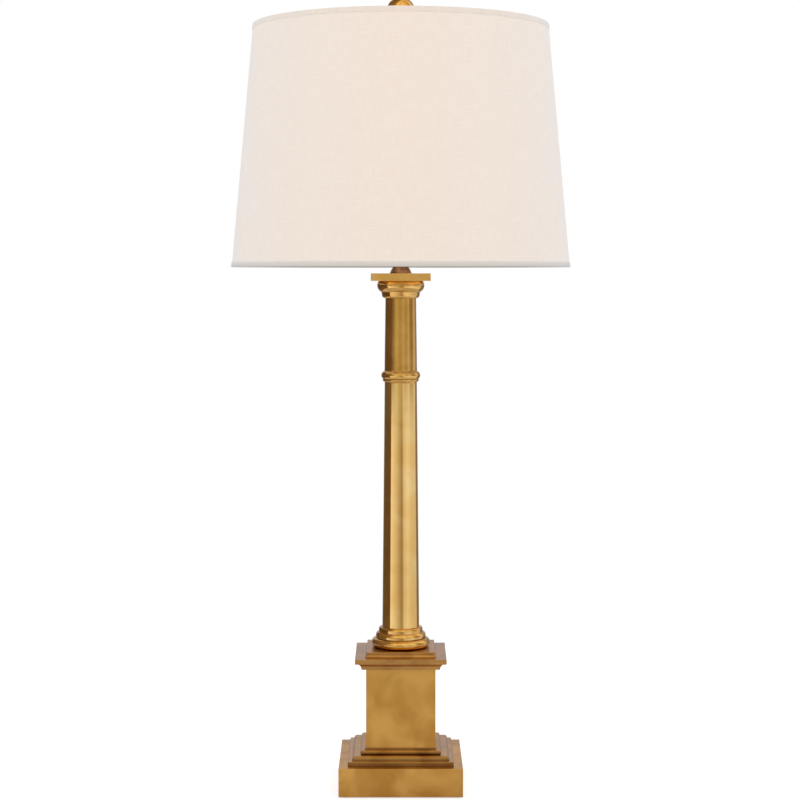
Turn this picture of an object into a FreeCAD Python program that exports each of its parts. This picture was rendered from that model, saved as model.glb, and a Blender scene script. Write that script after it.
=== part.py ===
import FreeCAD, Part
import math
import os
import types

import Sketcher

# A column table lamp in antique brass with a white hardback drum shade.
# Millimetres; the origin is the middle of the felt on the table, +Z is up, the front faces -Y.
# One steel pipe clamps the column: a nut under the iron weight pulls against the lock nut on top.

SIZES = {
    # plinth, its weight and its underside
    "felt_proud": 0.8,
    "felt_thickness": 2.4,
    "cover_thickness": 1.0,
    "cover_clearance": 0.3,
    "plinth_width": 127.0,
    "plinth_height": 29.0,
    "plinth_wall": 3.0,
    "plinth_edge_round": 0.8,
    "lug_width": 8.0,
    "cover_screw_radius": 1.5,
    "cover_screw_head": 2.8,
    "cover_screw_head_height": 0.91,
    "cover_screw_length": 8.0,
    "weight_clearance": 0.5,
    "weight_thickness": 18.0,
    "weight_floor": 3.0,
    "well_clearance": 5.0,
    # pipe, its nuts and the lead inside it
    "pipe_radius": 5.0,
    "pipe_wall": 1.75,
    "pipe_clearance": 0.3,
    "washer_radius": 15.0,
    "washer_thickness": 1.5,
    "nut_wall": 2.95,
    "nut_thickness": 4.0,
    "pipe_below_nut": 0.5,
    "lead_radius": 1.8,
    "lead_bend": 11.0,
    "lead_end_gap": 8.0,
    "bushing_bore": 2.6,
    "bushing_body": 3.3,
    "bushing_flange": 5.6,
    "bushing_flange_thickness": 1.5,
    "bushing_clearance": 0.1,
    # stepped moulding between the plinth and the pedestal
    "step_low_ledge": 4.4,
    "step_low_height": 4.7,
    "step_low_round": 1.2,
    "step_mid_slope": 2.4,
    "step_mid_ledge": 5.9,
    "step_mid_height": 4.3,
    "step_mid_land": 1.0,
    "step_mid_round": 4.4,
    "step_bead_radius": 2.1,
    "step_bead_ledge": 4.7,
    "step_neck_ledge": 0.95,
    "step_neck_height": 1.8,
    "casting_top": 3.0,
    "step_skirt_wall": 5.8,
    # pedestal die and its cap
    "die_width": 71.7,
    "die_height": 81.9,
    "die_wall": 2.0,
    "spigot_height": 3.0,
    "spigot_clearance": 0.1,
    "spigot_wall": 4.75,
    "cap_foot_ledge": 4.75,
    "cap_foot_height": 1.0,
    "cap_cove_reach": 6.1,
    "cap_cove_height": 5.6,
    "cap_cove_round": 6.2,
    "cap_plate_lip": 0.4,
    "cap_plate_height": 5.0,
    "cap_step_half": 36.6,
    "cap_step_set_back": 1.2,
    "cap_step_height": 5.4,
    "cap_step_foot": 0.8,
    "cap_step_cove": 1.9,
    # turned foot of the column
    "foot_torus_radius": 4.8,
    "foot_torus_ledge": 4.6,
    "foot_groove_inset": 1.4,
    "foot_groove_height": 0.7,
    "foot_ring_ledge": 3.1,
    "foot_ring_slope": 2.1,
    "foot_ring_land": 1.4,
    "foot_ring_height": 5.5,
    "foot_ring_round": 4.2,
    "foot_collar_ledge": 3.6,
    "foot_collar_height": 5.2,
    "foot_collar_round": 2.3,
    # column shafts and the ring between them
    "shaft_wall": 1.2,
    "lower_shaft_foot": 19.3,
    "lower_shaft_head": 16.85,
    "lower_shaft_height": 255.7,
    "upper_shaft_foot": 17.0,
    "upper_shaft_head": 16.0,
    "upper_shaft_height": 75.3,
    "ring_height": 12.8,
    "ring_bead_swell": 2.05,
    "ring_bead_radius": 1.7,
    "ring_bead_middle": 2.8,
    "ring_split": 4.2,
    "ring_torus_swell": 3.45,
    "ring_torus_radius": 4.9,
    "ring_torus_middle": 7.6,
    "turned_spigot": 4.0,
    "turned_wall": 2.0,
    # capital, abacus and neck
    "capital_height": 18.0,
    "capital_foot_ledge": 0.6,
    "capital_bead_swell": 3.0,
    "capital_bead_round": 2.8,
    "capital_bead_flare": 3.08,
    "capital_bead_slope": 0.6,
    "capital_bead_height": 6.4,
    "capital_ledge": 4.4,
    "capital_round": 7.8,
    "capital_middle": 13.3,
    "abacus_width": 61.6,
    "abacus_height": 7.8,
    "abacus_edge_round": 0.7,
    "neck_height": 12.0,
    "neck_flange": 11.2,
    "neck_flange_height": 1.2,
    "neck_waist_wall": 3.1,
    "neck_waist_height": 6.6,
    "neck_bead_swell": 0.5,
    "neck_bead_radius": 0.7,
    "neck_wall": 1.5,
    # harp saddle, lock nut, harp, sleeves and swivel stud
    "saddle_thickness": 1.6,
    "saddle_width": 7.0,
    "saddle_eye": 10.0,
    "saddle_rise": 9.0,
    "tongue_width": 4.2,
    "tongue_height": 14.0,
    "tongue_reach": 26.0,
    "lock_nut_wall": 2.0,
    "lock_nut_thickness": 3.2,
    "harp_wire": 1.7,
    "harp_gap": 0.3,
    "harp_leg": 48.0,
    "harp_bow_half": 64.0,
    "harp_bow_rise": 78.0,
    "harp_shoulder_half": 20.0,
    "harp_height": 218.7,
    "harp_leg_bend": 60.0,
    "harp_bow_bend": 100.0,
    "harp_shoulder_bend": 22.0,
    "harp_boss_radius": 7.0,
    "harp_boss_height": 4.4,
    "sleeve_height": 13.0,
    "sleeve_wall": 0.8,
    "sleeve_clearance": 0.25,
    "stud_shank": 3.3,
    "stud_head": 5.0,
    "stud_head_height": 1.5,
    "stud_flange": 8.0,
    "stud_flange_height": 2.2,
    "stud_boss": 5.3,
    "stud_boss_height": 1.6,
    "stud_thread": 3.175,
    "stud_thread_height": 13.0,
    "running_clearance": 0.08,
    # socket
    "cap_boss_wall": 2.5,
    "cap_boss_height": 6.5,
    "cap_height": 23.0,
    "cap_rim_height": 5.0,
    "cap_dome_round": 16.0,
    "cap_wall": 0.8,
    "set_screw_radius": 1.5,
    "set_screw_head": 2.4,
    "set_screw_head_height": 2.0,
    "shell_radius": 17.1,
    "shell_wall": 0.6,
    "shell_height": 38.0,
    "shell_overlap": 2.5,
    "sleeve_paper_wall": 0.7,
    "socket_gap": 0.1,
    "switch_hole_clearance": 0.3,
    "socket_body_clearance": 0.5,
    "socket_body_flat": 11.5,
    "socket_body_height": 24.0,
    "screw_shell_bore": 13.3,
    "screw_shell_wall": 0.4,
    "screw_shell_height": 20.0,
    "contact_radius": 3.0,
    "contact_clearance": 3.0,
    "contact_height": 2.2,
    "terminal_shank": 1.5,
    "terminal_head": 2.8,
    "terminal_head_height": 1.8,
    "terminal_depth": 4.0,
    "switch_stem_radius": 2.2,
    "switch_stem_depth": 6.0,
    "switch_stem_reach": 27.0,
    "switch_height": 14.0,
    "knob_radius": 6.5,
    "knob_length": 11.0,
    "knob_bore_depth": 6.6,
    "knob_flute": 0.9,
    "knob_plain_band": 2.2,
    "knob_edge_round": 1.2,
    # bulb
    "bulb_gap": 0.3,
    "bulb_tip_radius": 4.5,
    "bulb_tip_height": 1.5,
    "bulb_insulator_radius": 11.0,
    "bulb_insulator_height": 2.5,
    "bulb_thread_clearance": 0.25,
    "bulb_cap_wall": 0.4,
    "bulb_cap_height": 23.0,
    "bulb_globe_radius": 30.0,
    "bulb_glass": 1.0,
    "bulb_length": 108.0,
    "bulb_neck_radius": 14.2,
    "bulb_neck_height": 31.0,
    "bulb_shoulder_round": 24.6,
    "bulb_glass_seat": 4.5,
    "stem_flange_height": 1.5,
    "stem_shoulder_height": 4.5,
    "stem_radius": 6.0,
    "stem_height": 32.0,
    "support_radius": 0.5,
    "support_height": 20.0,
    "support_half": 4.6,
    "support_head_half": 9.2,
    "support_bend": 1.8,
    # shade
    "shade_height": 250.6,
    "shade_bottom_radius": 175.6,
    "shade_top_radius": 153.0,
    "spider_recess": 12.3,
    "linen_thickness": 0.6,
    "liner_thickness": 0.8,
    "glue_line": 0.1,
    "hoop_wire": 1.5,
    "hoop_gap": 0.05,
    "tape_thickness": 0.6,
    "tape_height": 5.5,
    "spider_washer_radius": 14.0,
    "spider_washer_thickness": 1.2,
    "spider_hole_clearance": 0.25,
    "spider_wire": 1.5,
    "spider_bend": 6.0,
    "seat_gap": 0.3,
    # finial
    "finial_radius": 14.9,
    "finial_seat": 6.3,
    "finial_neck_height": 12.0,
    "finial_flange": 9.0,
    "finial_flange_height": 1.6,
    "finial_taper_top": 3.2,
    "finial_waist": 5.6,
    "finial_cup": 7.6,
    "finial_cup_height": 2.4,
    "finial_tap_depth": 6.0,
}

FULL_TURN = 360
SPIDER_ARMS = 3
BACK_ANGLE = 90
KNOB_FLUTES = 16
BULB_FLANK_ANGLE = 30
OVERLAP = 1.0

X_AXIS = FreeCAD.Vector(1, 0, 0)
Y_AXIS = FreeCAD.Vector(0, 1, 0)
Z_AXIS = FreeCAD.Vector(0, 0, 1)


class Size:
    """A length with its present value and the formula that ties it to the size sheet."""

    def __init__(self, value, formula):
        self.value = value
        self.formula = formula

    def __add__(self, other):
        other = as_size(other)
        return Size(self.value + other.value, f"({self.formula} + {other.formula})")

    def __sub__(self, other):
        other = as_size(other)
        return Size(self.value - other.value, f"({self.formula} - {other.formula})")

    def __mul__(self, other):
        other = as_size(other)
        return Size(self.value * other.value, f"({self.formula} * {other.formula})")

    def __truediv__(self, other):
        other = as_size(other)
        return Size(self.value / other.value, f"({self.formula} / {other.formula})")

    def __neg__(self):
        return Size(-self.value, f"(0 - {self.formula})")

    def root(self):
        return Size(math.sqrt(self.value), f"sqrt({self.formula})")


def as_size(thing):
    if isinstance(thing, Size):
        return thing
    return Size(float(thing), f"({float(thing)})")


def make_sheet(doc):
    """Write every driving size to the sheet and return them as Size values by name."""
    sheet = doc.addObject("Spreadsheet::Sheet", "Sizes")
    for row, (name, value) in enumerate(SIZES.items(), start=1):
        sheet.set(f"A{row}", name)
        sheet.set(f"B{row}", str(value))
        sheet.setAlias(f"B{row}", name)
    doc.recompute()
    values = {name: Size(float(value), f"Sizes.{name}") for name, value in SIZES.items()}
    return types.SimpleNamespace(**values)


DOC = FreeCAD.newDocument("column_lamp")
DIM = make_sheet(DOC)
PIECES = {}


def bind(thing, prop, size):
    thing.setExpression(prop, as_size(size).formula)


def place(thing, x=0, y=0, z=0):
    for axis, size in (("x", x), ("y", y), ("z", z)):
        bind(thing, f"Placement.Base.{axis}", size)


def keep(node, thing):
    """Enter a finished sub-part under its node name."""
    thing.Label = node
    PIECES[node] = thing
    return thing


# Building blocks -------------------------------------------------------------------------------

def pin_point(sketch, edge, end, across, up):
    """Hold one end of a sketch edge at a distance from both sketch axes."""
    for kind, size, axis in (("DistanceX", across, -2), ("DistanceY", up, -1)):
        size = as_size(size)
        if size.value == 0:
            sketch.addConstraint(Sketcher.Constraint("PointOnObject", edge, end, axis))
        else:
            rule = Sketcher.Constraint(kind, -1, 1, edge, end, size.value)
            index = sketch.addConstraint(rule)
            sketch.setExpression(f"Constraints[{index}]", size.formula)


def arc_between(start, end, radius):
    """Short arc between two points; a positive radius bulges away from the outline's inside."""
    chord = end - start
    side = FreeCAD.Vector(-chord.y, chord.x, 0).normalize()
    rise = math.sqrt(max(radius * radius - chord.Length * chord.Length / 4, 0))
    centre = (start + end) / 2 + side * math.copysign(rise, radius)
    first, last = (start, end) if radius > 0 else (end, start)
    angles = [math.atan2(p.y - centre.y, p.x - centre.x) for p in (first, last)]
    circle = Part.Circle(centre, Z_AXIS, abs(radius))
    return Part.ArcOfCircle(circle, angles[0], angles[1])


def draw_outline(sketch, corners, holes=()):
    """Closed outline, anticlockwise: corners are (across, up) or (across, up, radius to the next)."""
    spots = [FreeCAD.Vector(as_size(c[0]).value, as_size(c[1]).value, 0) for c in corners]
    ends = []
    for index, corner in enumerate(corners):
        start = spots[index]
        end = spots[(index + 1) % len(spots)]
        if len(corner) > 2:
            radius = as_size(corner[2])
            edge = sketch.addGeometry(arc_between(start, end, radius.value))
            ends.append((edge, 1, 2) if radius.value > 0 else (edge, 2, 1))
            size = radius if radius.value > 0 else -radius
            rule = sketch.addConstraint(Sketcher.Constraint("Radius", edge, size.value))
            sketch.setExpression(f"Constraints[{rule}]", size.formula)
        else:
            edge = sketch.addGeometry(Part.LineSegment(start, end))
            ends.append((edge, 1, 2))
    for index, corner in enumerate(corners):
        edge, start, _ = ends[index]
        before, _, finish = ends[index - 1]
        sketch.addConstraint(Sketcher.Constraint("Coincident", before, finish, edge, start))
        pin_point(sketch, edge, start, corner[0], corner[1])
    for across, up, radius in holes:
        middle = FreeCAD.Vector(as_size(across).value, as_size(up).value, 0)
        edge = sketch.addGeometry(Part.Circle(middle, Z_AXIS, radius.value))
        rule = sketch.addConstraint(Sketcher.Constraint("Radius", edge, radius.value))
        sketch.setExpression(f"Constraints[{rule}]", radius.formula)
        pin_point(sketch, edge, 3, across, up)


def new_sketch(body, plane, corners, holes=()):
    sketch = body.newObject("Sketcher::SketchObject", f"{body.Name}_outline")
    support = [o for o in body.Origin.OriginFeatures if o.Role == plane][0]
    sketch.AttachmentSupport = [(support, "")]
    sketch.MapMode = "FlatFace"
    draw_outline(sketch, corners, holes)
    return sketch


def lathe(name, corners):
    """Turned piece: (radius, height) corners swept round Z."""
    body = DOC.addObject("PartDesign::Body", name)
    sketch = new_sketch(body, "XZ_Plane", corners)
    turn = body.newObject("PartDesign::Revolution", f"{name}_turned")
    turn.Profile = sketch
    turn.ReferenceAxis = (sketch, ["V_Axis"])
    turn.Angle = FULL_TURN
    return body


def pad(name, plane, corners, length, holes=(), symmetric=False):
    """Straight prism of an outline drawn on one of the body's own planes."""
    body = DOC.addObject("PartDesign::Body", name)
    sketch = new_sketch(body, plane, corners, holes)
    extrusion = body.newObject("PartDesign::Pad", f"{name}_pad")
    extrusion.Profile = sketch
    extrusion.SideType = "Symmetric" if symmetric else "One side"
    bind(extrusion, "Length", length)
    return body


def box(name, width, depth, height, x=0, y=0, z=0):
    """Block centred on (x, y) that stands on height z."""
    block = DOC.addObject("Part::Box", name)
    bind(block, "Length", width)
    bind(block, "Width", depth)
    bind(block, "Height", height)
    place(block, as_size(x) - as_size(width) / 2, as_size(y) - as_size(depth) / 2, z)
    return block


def rod(name, radius, length, x=0, y=0, z=0, along=Z_AXIS):
    """Round bar that starts at (x, y, z) and runs along an axis."""
    bar = DOC.addObject("Part::Cylinder", name)
    bind(bar, "Radius", radius)
    bind(bar, "Height", length)
    bar.Placement = FreeCAD.Placement(FreeCAD.Vector(), FreeCAD.Rotation(Z_AXIS, along))
    place(bar, x, y, z)
    return bar


def joined(name, solids):
    union = DOC.addObject("Part::MultiFuse", name)
    union.Shapes = solids
    return union


def carved(name, base, tools):
    """Base with every tool solid taken away."""
    result = DOC.addObject("Part::Cut", name)
    result.Base = base
    result.Tool = tools[0] if len(tools) == 1 else joined(f"{name}_tools", tools)
    return result


def group(name, solids):
    """Separate like pieces that share one node."""
    bundle = DOC.addObject("Part::Compound", name)
    bundle.Links = solids
    return bundle


def mitred(name, right_side):
    """Square moulding with mitred corners: (half width, height) corners from its foot to its head."""
    left_side = []
    for index in range(len(right_side) - 1, -1, -1):
        half, height = right_side[index][:2]
        edge = right_side[index - 1][2:] if index > 0 else ()
        left_side.append((-as_size(half), height) + tuple(edge))
    corners = right_side + left_side
    widest = max((as_size(corner[0]) for corner in right_side), key=lambda size: size.value)
    length = (widest + OVERLAP) * 2
    across = pad(f"{name}_across", "XZ_Plane", corners, length, symmetric=True)
    along = pad(f"{name}_along", "YZ_Plane", corners, length, symmetric=True)
    block = DOC.addObject("Part::Common", name)
    block.Base = across
    block.Tool = along
    return block


def wire_rod(name, radius, points, bends):
    """Bent round wire through corner points, each corner rounded to its own bend radius."""
    edges = []
    start = points[0]
    for before, corner, after, bend in zip(points, points[1:], points[2:], bends):
        into = (corner - before).normalize()
        away = (after - corner).normalize()
        turn = into.getAngle(away)
        trim = bend * math.tan(turn / 2)
        first = corner - into * trim
        last = corner + away * trim
        middle = corner + (away - into).normalize() * (bend / math.cos(turn / 2) - bend)
        edges.append(Part.LineSegment(start, first).toShape())
        edges.append(Part.Arc(first, middle, last).toShape())
        start = last
    edges.append(Part.LineSegment(start, points[-1]).toShape())
    path = Part.Wire(edges)
    ring = Part.Wire(Part.makeCircle(radius, points[0], points[1] - points[0]))
    solid = path.makePipeShell([ring], True, False)
    thing = DOC.addObject("Part::Feature", name)
    thing.Shape = solid
    return thing


def hex_nut(name, bore, wall, thickness):
    """Six-sided nut with its least wall between the bore and each flat."""
    half = bore + wall
    corner = half * 2 / math.sqrt(3)
    corners = [(corner, 0), (corner / 2, half), (-corner / 2, half),
               (-corner, 0), (-corner / 2, -half), (corner / 2, -half)]
    return pad(name, "XY_Plane", corners, thickness, holes=[(0, 0, bore)])


# Levels above the table, each stacked on the piece below, and sizes that pieces share -----------

PIPE_HOLE = DIM.pipe_radius + DIM.pipe_clearance
PLINTH_INSIDE = DIM.plinth_width - DIM.plinth_wall * 2
LUG_SPOT = PLINTH_INSIDE / 2 - DIM.lug_width / 2

PLINTH_FOOT = DIM.felt_proud
PLINTH_TOP = PLINTH_FOOT + DIM.plinth_height
WEIGHT_TOP = PLINTH_TOP - DIM.plinth_wall
WEIGHT_FOOT = WEIGHT_TOP - DIM.weight_thickness
WELL_TOP = WEIGHT_TOP - DIM.weight_floor
WASHER_FOOT = WELL_TOP - DIM.washer_thickness
NUT_FOOT = WASHER_FOOT - DIM.nut_thickness
PIPE_FOOT = NUT_FOOT - DIM.pipe_below_nut
LEAD_LEVEL = PIPE_FOOT - DIM.lead_bend

STEP_HEIGHT = (DIM.step_low_height + DIM.step_mid_height + DIM.step_bead_radius * 2
               + DIM.step_neck_height)
DIE_FOOT = PLINTH_TOP + STEP_HEIGHT
DIE_INSIDE = DIM.die_width - DIM.die_wall * 2
SPIGOT_WIDTH = DIE_INSIDE - DIM.spigot_clearance * 2
CASTING_CAVITY = SPIGOT_WIDTH - DIM.spigot_wall * 2
STEP_NECK = DIM.die_width / 2 + DIM.step_neck_ledge
STEP_BEAD = STEP_NECK + DIM.step_bead_ledge
STEP_MID_TOP = STEP_BEAD + DIM.step_mid_ledge
STEP_MID = STEP_MID_TOP + DIM.step_mid_slope
STEP_LOW = STEP_MID + DIM.step_low_ledge
CAP_FOOT_HALF = DIM.die_width / 2 + DIM.cap_foot_ledge
CAP_COVE_HALF = CAP_FOOT_HALF + DIM.cap_cove_reach
CAP_FOOT = DIE_FOOT + DIM.die_height
CAP_HEIGHT = DIM.cap_foot_height + DIM.cap_cove_height + DIM.cap_plate_height
CAP_STEP_FOOT = CAP_FOOT + CAP_HEIGHT
FOOT_LEVEL = CAP_STEP_FOOT + DIM.cap_step_height
FOOT_HEIGHT = (DIM.foot_torus_radius * 2 + DIM.foot_groove_height + DIM.foot_ring_height
               + DIM.foot_collar_height)
LOWER_SHAFT_FOOT = FOOT_LEVEL + FOOT_HEIGHT
RING_LEVEL = LOWER_SHAFT_FOOT + DIM.lower_shaft_height
UPPER_SHAFT_FOOT = RING_LEVEL + DIM.ring_height
CAPITAL_LEVEL = UPPER_SHAFT_FOOT + DIM.upper_shaft_height
ABACUS_LEVEL = CAPITAL_LEVEL + DIM.capital_height
NECK_LEVEL = ABACUS_LEVEL + DIM.abacus_height
CAP_BOSS = DIM.pipe_radius + DIM.cap_boss_wall
CAP_RIM = DIM.shell_radius + DIM.socket_gap + DIM.cap_wall
SLEEVE_RADIUS = DIM.shell_radius - DIM.shell_wall - DIM.socket_gap
SOCKET_BODY = SLEEVE_RADIUS - DIM.sleeve_paper_wall - DIM.socket_body_clearance
BULB_CAP = DIM.screw_shell_bore - DIM.bulb_thread_clearance
SADDLE_LEVEL = NECK_LEVEL + DIM.neck_height
LOCK_NUT_LEVEL = SADDLE_LEVEL + DIM.saddle_thickness
SOCKET_LEVEL = LOCK_NUT_LEVEL + DIM.lock_nut_thickness
SOCKET_BODY_LEVEL = SOCKET_LEVEL + DIM.cap_height - DIM.cap_rim_height - DIM.shell_overlap
SOCKET_DECK = SOCKET_BODY_LEVEL + DIM.socket_body_height
SHELL_LEVEL = SOCKET_LEVEL + DIM.cap_height - DIM.shell_overlap
SWITCH_LEVEL = SOCKET_BODY_LEVEL + DIM.switch_height
BULB_FOOT = SOCKET_DECK + DIM.contact_height + DIM.bulb_gap
HARP_FOOT = SADDLE_LEVEL + DIM.saddle_rise + DIM.harp_gap
HARP_CROWN = HARP_FOOT + DIM.harp_height - DIM.harp_gap
SPIDER_LEVEL = (HARP_CROWN + DIM.harp_boss_height / 2 + DIM.seat_gap * 2 + DIM.stud_flange_height)
FINIAL_LEVEL = SPIDER_LEVEL + DIM.spider_washer_thickness + DIM.seat_gap
BALL_SEAT = FINIAL_LEVEL + DIM.finial_neck_height
SHADE_BOTTOM = SPIDER_LEVEL + DIM.spider_recess - DIM.shade_height


# Base ------------------------------------------------------------------------------------------

def corner_spots(half):
    return [(-half, -half), (half, -half), (half, half), (-half, half)]


def build_plinth():
    """Cast box, open below, with a lug in each corner for the cover screws and a hole at the back."""
    half = DIM.plinth_width / 2
    rounding = DIM.plinth_edge_round
    block = mitred("plinth_block", [
        (half, 0),
        (half, DIM.plinth_height - rounding, rounding),
        (half - rounding, DIM.plinth_height),
    ])
    place(block, z=PLINTH_FOOT)
    hollow = box("plinth_hollow", PLINTH_INSIDE, PLINTH_INSIDE, WEIGHT_TOP, z=0)
    lug_foot = DIM.felt_thickness + DIM.cover_thickness
    lugs = []
    taps = []
    for number, (x, y) in enumerate(corner_spots(LUG_SPOT), start=1):
        lugs.append(box(f"lug_{number}", DIM.lug_width, DIM.lug_width, WEIGHT_TOP - lug_foot,
                        x, y, lug_foot))
        taps.append(rod(f"tap_{number}", DIM.cover_screw_radius, DIM.cover_screw_length,
                        x, y, DIM.felt_thickness))
    pipe_hole = rod("plinth_pipe_hole", PIPE_HOLE, PLINTH_TOP)
    cord_hole = rod("plinth_cord_hole", DIM.bushing_body + DIM.bushing_clearance, half,
                    y=half / 2, z=LEAD_LEVEL, along=Y_AXIS)
    shell = carved("plinth_shell", block, [hollow, pipe_hole, cord_hole])
    keep("plinth", carved("plinth", joined("plinth_with_lugs", [shell] + lugs), taps))


def build_underside():
    """Felt glued under a thin steel cover, which four countersunk screws hold to the lugs."""
    width = PLINTH_INSIDE - DIM.cover_clearance * 2
    keep("felt_pad", box("felt_pad", width, width, DIM.felt_thickness))
    plate = box("cover_plate", width, width, DIM.cover_thickness, z=DIM.felt_thickness)
    holes = []
    screws = []
    for number, (x, y) in enumerate(corner_spots(LUG_SPOT), start=1):
        for prefix, target in (("cover_hole", holes), ("cover_screw", screws)):
            screw = lathe(f"{prefix}_{number}", [
                (0, 0),
                (DIM.cover_screw_head, 0),
                (DIM.cover_screw_radius, DIM.cover_screw_head_height),
                (DIM.cover_screw_radius, DIM.cover_screw_length),
                (0, DIM.cover_screw_length),
            ])
            place(screw, x, y, DIM.felt_thickness)
            target.append(screw)
    keep("bottom_cover", carved("bottom_cover", plate, holes))
    keep("cover_screws", group("cover_screws", screws))


def build_weight():
    """Cast-iron slab under the plinth's top, with a well for the nut and washer."""
    width = PLINTH_INSIDE - (DIM.lug_width + DIM.weight_clearance) * 2
    slab = box("weight_slab", width, width, DIM.weight_thickness, z=WEIGHT_FOOT)
    well = rod("weight_well", DIM.washer_radius + DIM.well_clearance,
               DIM.weight_thickness - DIM.weight_floor, z=WEIGHT_FOOT)
    hole = rod("weight_hole", PIPE_HOLE, WEIGHT_TOP)
    keep("base_weight", carved("base_weight", slab, [well, hole]))


def build_pipe():
    """Threaded pipe from the nut in the base to the boss of the socket cap."""
    bore = DIM.pipe_radius - DIM.pipe_wall
    length = SOCKET_LEVEL + DIM.cap_boss_height - PIPE_FOOT
    pipe = lathe("threaded_pipe", [
        (bore, 0),
        (DIM.pipe_radius, 0),
        (DIM.pipe_radius, length),
        (bore, length),
    ])
    place(pipe, z=PIPE_FOOT)
    keep("threaded_pipe", pipe)
    washer = lathe("base_washer", [
        (PIPE_HOLE, 0),
        (DIM.washer_radius, 0),
        (DIM.washer_radius, DIM.washer_thickness),
        (PIPE_HOLE, DIM.washer_thickness),
    ])
    place(washer, z=WASHER_FOOT)
    keep("base_washer", washer)
    nut = hex_nut("base_nut", DIM.pipe_radius, DIM.nut_wall, DIM.nut_thickness)
    place(nut, z=NUT_FOOT)
    keep("base_nut", nut)


def build_lead():
    """Pair of wires from the socket down the pipe; its end waits in the plinth for the cord."""
    top = SOCKET_BODY_LEVEL - DIM.socket_gap
    back = (DIM.plinth_width / 2 - DIM.plinth_wall - DIM.bushing_flange_thickness
            - DIM.lead_end_gap)
    level = LEAD_LEVEL.value
    points = [
        FreeCAD.Vector(0, 0, top.value),
        FreeCAD.Vector(0, 0, level),
        FreeCAD.Vector(0, back.value, level),
    ]
    keep("inner_lead", wire_rod("inner_lead", DIM.lead_radius.value, points,
                                [DIM.lead_bend.value]))


def build_bushing():
    """Plastic cord bushing pushed into the back wall of the plinth."""
    length = DIM.plinth_wall + DIM.bushing_flange_thickness
    bushing = lathe("cord_bushing", [
        (DIM.bushing_bore, 0),
        (DIM.bushing_body, 0),
        (DIM.bushing_body, length),
        (DIM.bushing_flange, length),
        (DIM.bushing_flange, length + DIM.bushing_flange_thickness),
        (DIM.bushing_bore, length + DIM.bushing_flange_thickness),
    ])
    bushing.Placement = FreeCAD.Placement(FreeCAD.Vector(), FreeCAD.Rotation(Z_AXIS, Y_AXIS))
    place(bushing, y=DIM.plinth_width / 2 - length, z=LEAD_LEVEL)
    keep("cord_bushing", bushing)


def build_steps():
    """Stepped moulding: a flat step, an ovolo, a bead and a narrow neck, hollow underneath."""
    low_round = DIM.step_low_round
    mid_foot = DIM.step_low_height
    bead_foot = mid_foot + DIM.step_mid_height
    bead_middle = bead_foot + DIM.step_bead_radius
    bead_top = bead_middle + DIM.step_bead_radius
    bead_root = STEP_BEAD - DIM.step_bead_radius
    moulding = mitred("steps_moulding", [
        (STEP_LOW, 0),
        (STEP_LOW, mid_foot - low_round, low_round),
        (STEP_LOW - low_round, mid_foot),
        (STEP_MID, mid_foot),
        (STEP_MID, mid_foot + DIM.step_mid_land, DIM.step_mid_round),
        (STEP_MID_TOP, bead_foot),
        (bead_root, bead_foot, DIM.step_bead_radius),
        (STEP_BEAD, bead_middle, DIM.step_bead_radius),
        (bead_root, bead_top),
        (STEP_NECK, bead_top),
        (STEP_NECK, STEP_HEIGHT),
    ])
    place(moulding, z=PLINTH_TOP)
    spigot = box("steps_spigot", SPIGOT_WIDTH, SPIGOT_WIDTH, DIM.spigot_height + OVERLAP,
                 z=DIE_FOOT - OVERLAP)
    skirt_width = (STEP_MID - DIM.step_skirt_wall) * 2
    skirt = box("steps_skirt", skirt_width, skirt_width, mid_foot, z=PLINTH_TOP)
    cavity = box("steps_cavity", CASTING_CAVITY, CASTING_CAVITY,
                 STEP_HEIGHT + DIM.spigot_height - DIM.casting_top, z=PLINTH_TOP)
    hole = rod("steps_hole", PIPE_HOLE, DIE_FOOT + DIM.spigot_height)
    whole = joined("steps_with_spigot", [moulding, spigot])
    keep("base_steps", carved("base_steps", whole, [skirt, cavity, hole]))


def build_die():
    """Square pedestal tube that sits over the spigots of the steps and the cap."""
    outer = box("die_outer", DIM.die_width, DIM.die_width, DIM.die_height, z=DIE_FOOT)
    inner = box("die_inner", DIE_INSIDE, DIE_INSIDE, DIM.die_height, z=DIE_FOOT)
    keep("pedestal_die", carved("pedestal_die", outer, [inner]))


def build_pedestal_cap():
    """Pedestal cap: a cove that swells to a flat plate, with a spigot into the die."""
    cove_top = DIM.cap_foot_height + DIM.cap_cove_height
    plate = CAP_COVE_HALF + DIM.cap_plate_lip
    moulding = mitred("cap_moulding", [
        (CAP_FOOT_HALF, 0),
        (CAP_FOOT_HALF, DIM.cap_foot_height, -DIM.cap_cove_round),
        (CAP_COVE_HALF, cove_top),
        (plate, cove_top),
        (plate, CAP_HEIGHT),
    ])
    place(moulding, z=CAP_FOOT)
    spigot = box("cap_spigot", SPIGOT_WIDTH, SPIGOT_WIDTH, DIM.spigot_height + OVERLAP,
                 z=CAP_FOOT - DIM.spigot_height)
    cavity = box("cap_cavity", CASTING_CAVITY, CASTING_CAVITY,
                 CAP_HEIGHT + DIM.spigot_height - DIM.casting_top,
                 z=CAP_FOOT - DIM.spigot_height)
    hole = rod("cap_hole", PIPE_HOLE, CAP_STEP_FOOT)
    whole = joined("cap_with_spigot", [moulding, spigot])
    keep("pedestal_cap", carved("pedestal_cap", whole, [cavity, hole]))
    foot = DIM.cap_step_foot
    set_back = DIM.cap_step_half - DIM.cap_step_set_back
    step = mitred("cap_step_moulding", [
        (DIM.cap_step_half, 0),
        (DIM.cap_step_half, foot, -DIM.cap_step_cove),
        (set_back, foot + DIM.cap_step_cove),
        (set_back, DIM.cap_step_height),
    ])
    place(step, z=CAP_STEP_FOOT)
    step_hole = rod("cap_step_hole", PIPE_HOLE, FOOT_LEVEL)
    keep("cap_step", carved("cap_step", step, [step_hole]))


# Column ----------------------------------------------------------------------------------------

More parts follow.
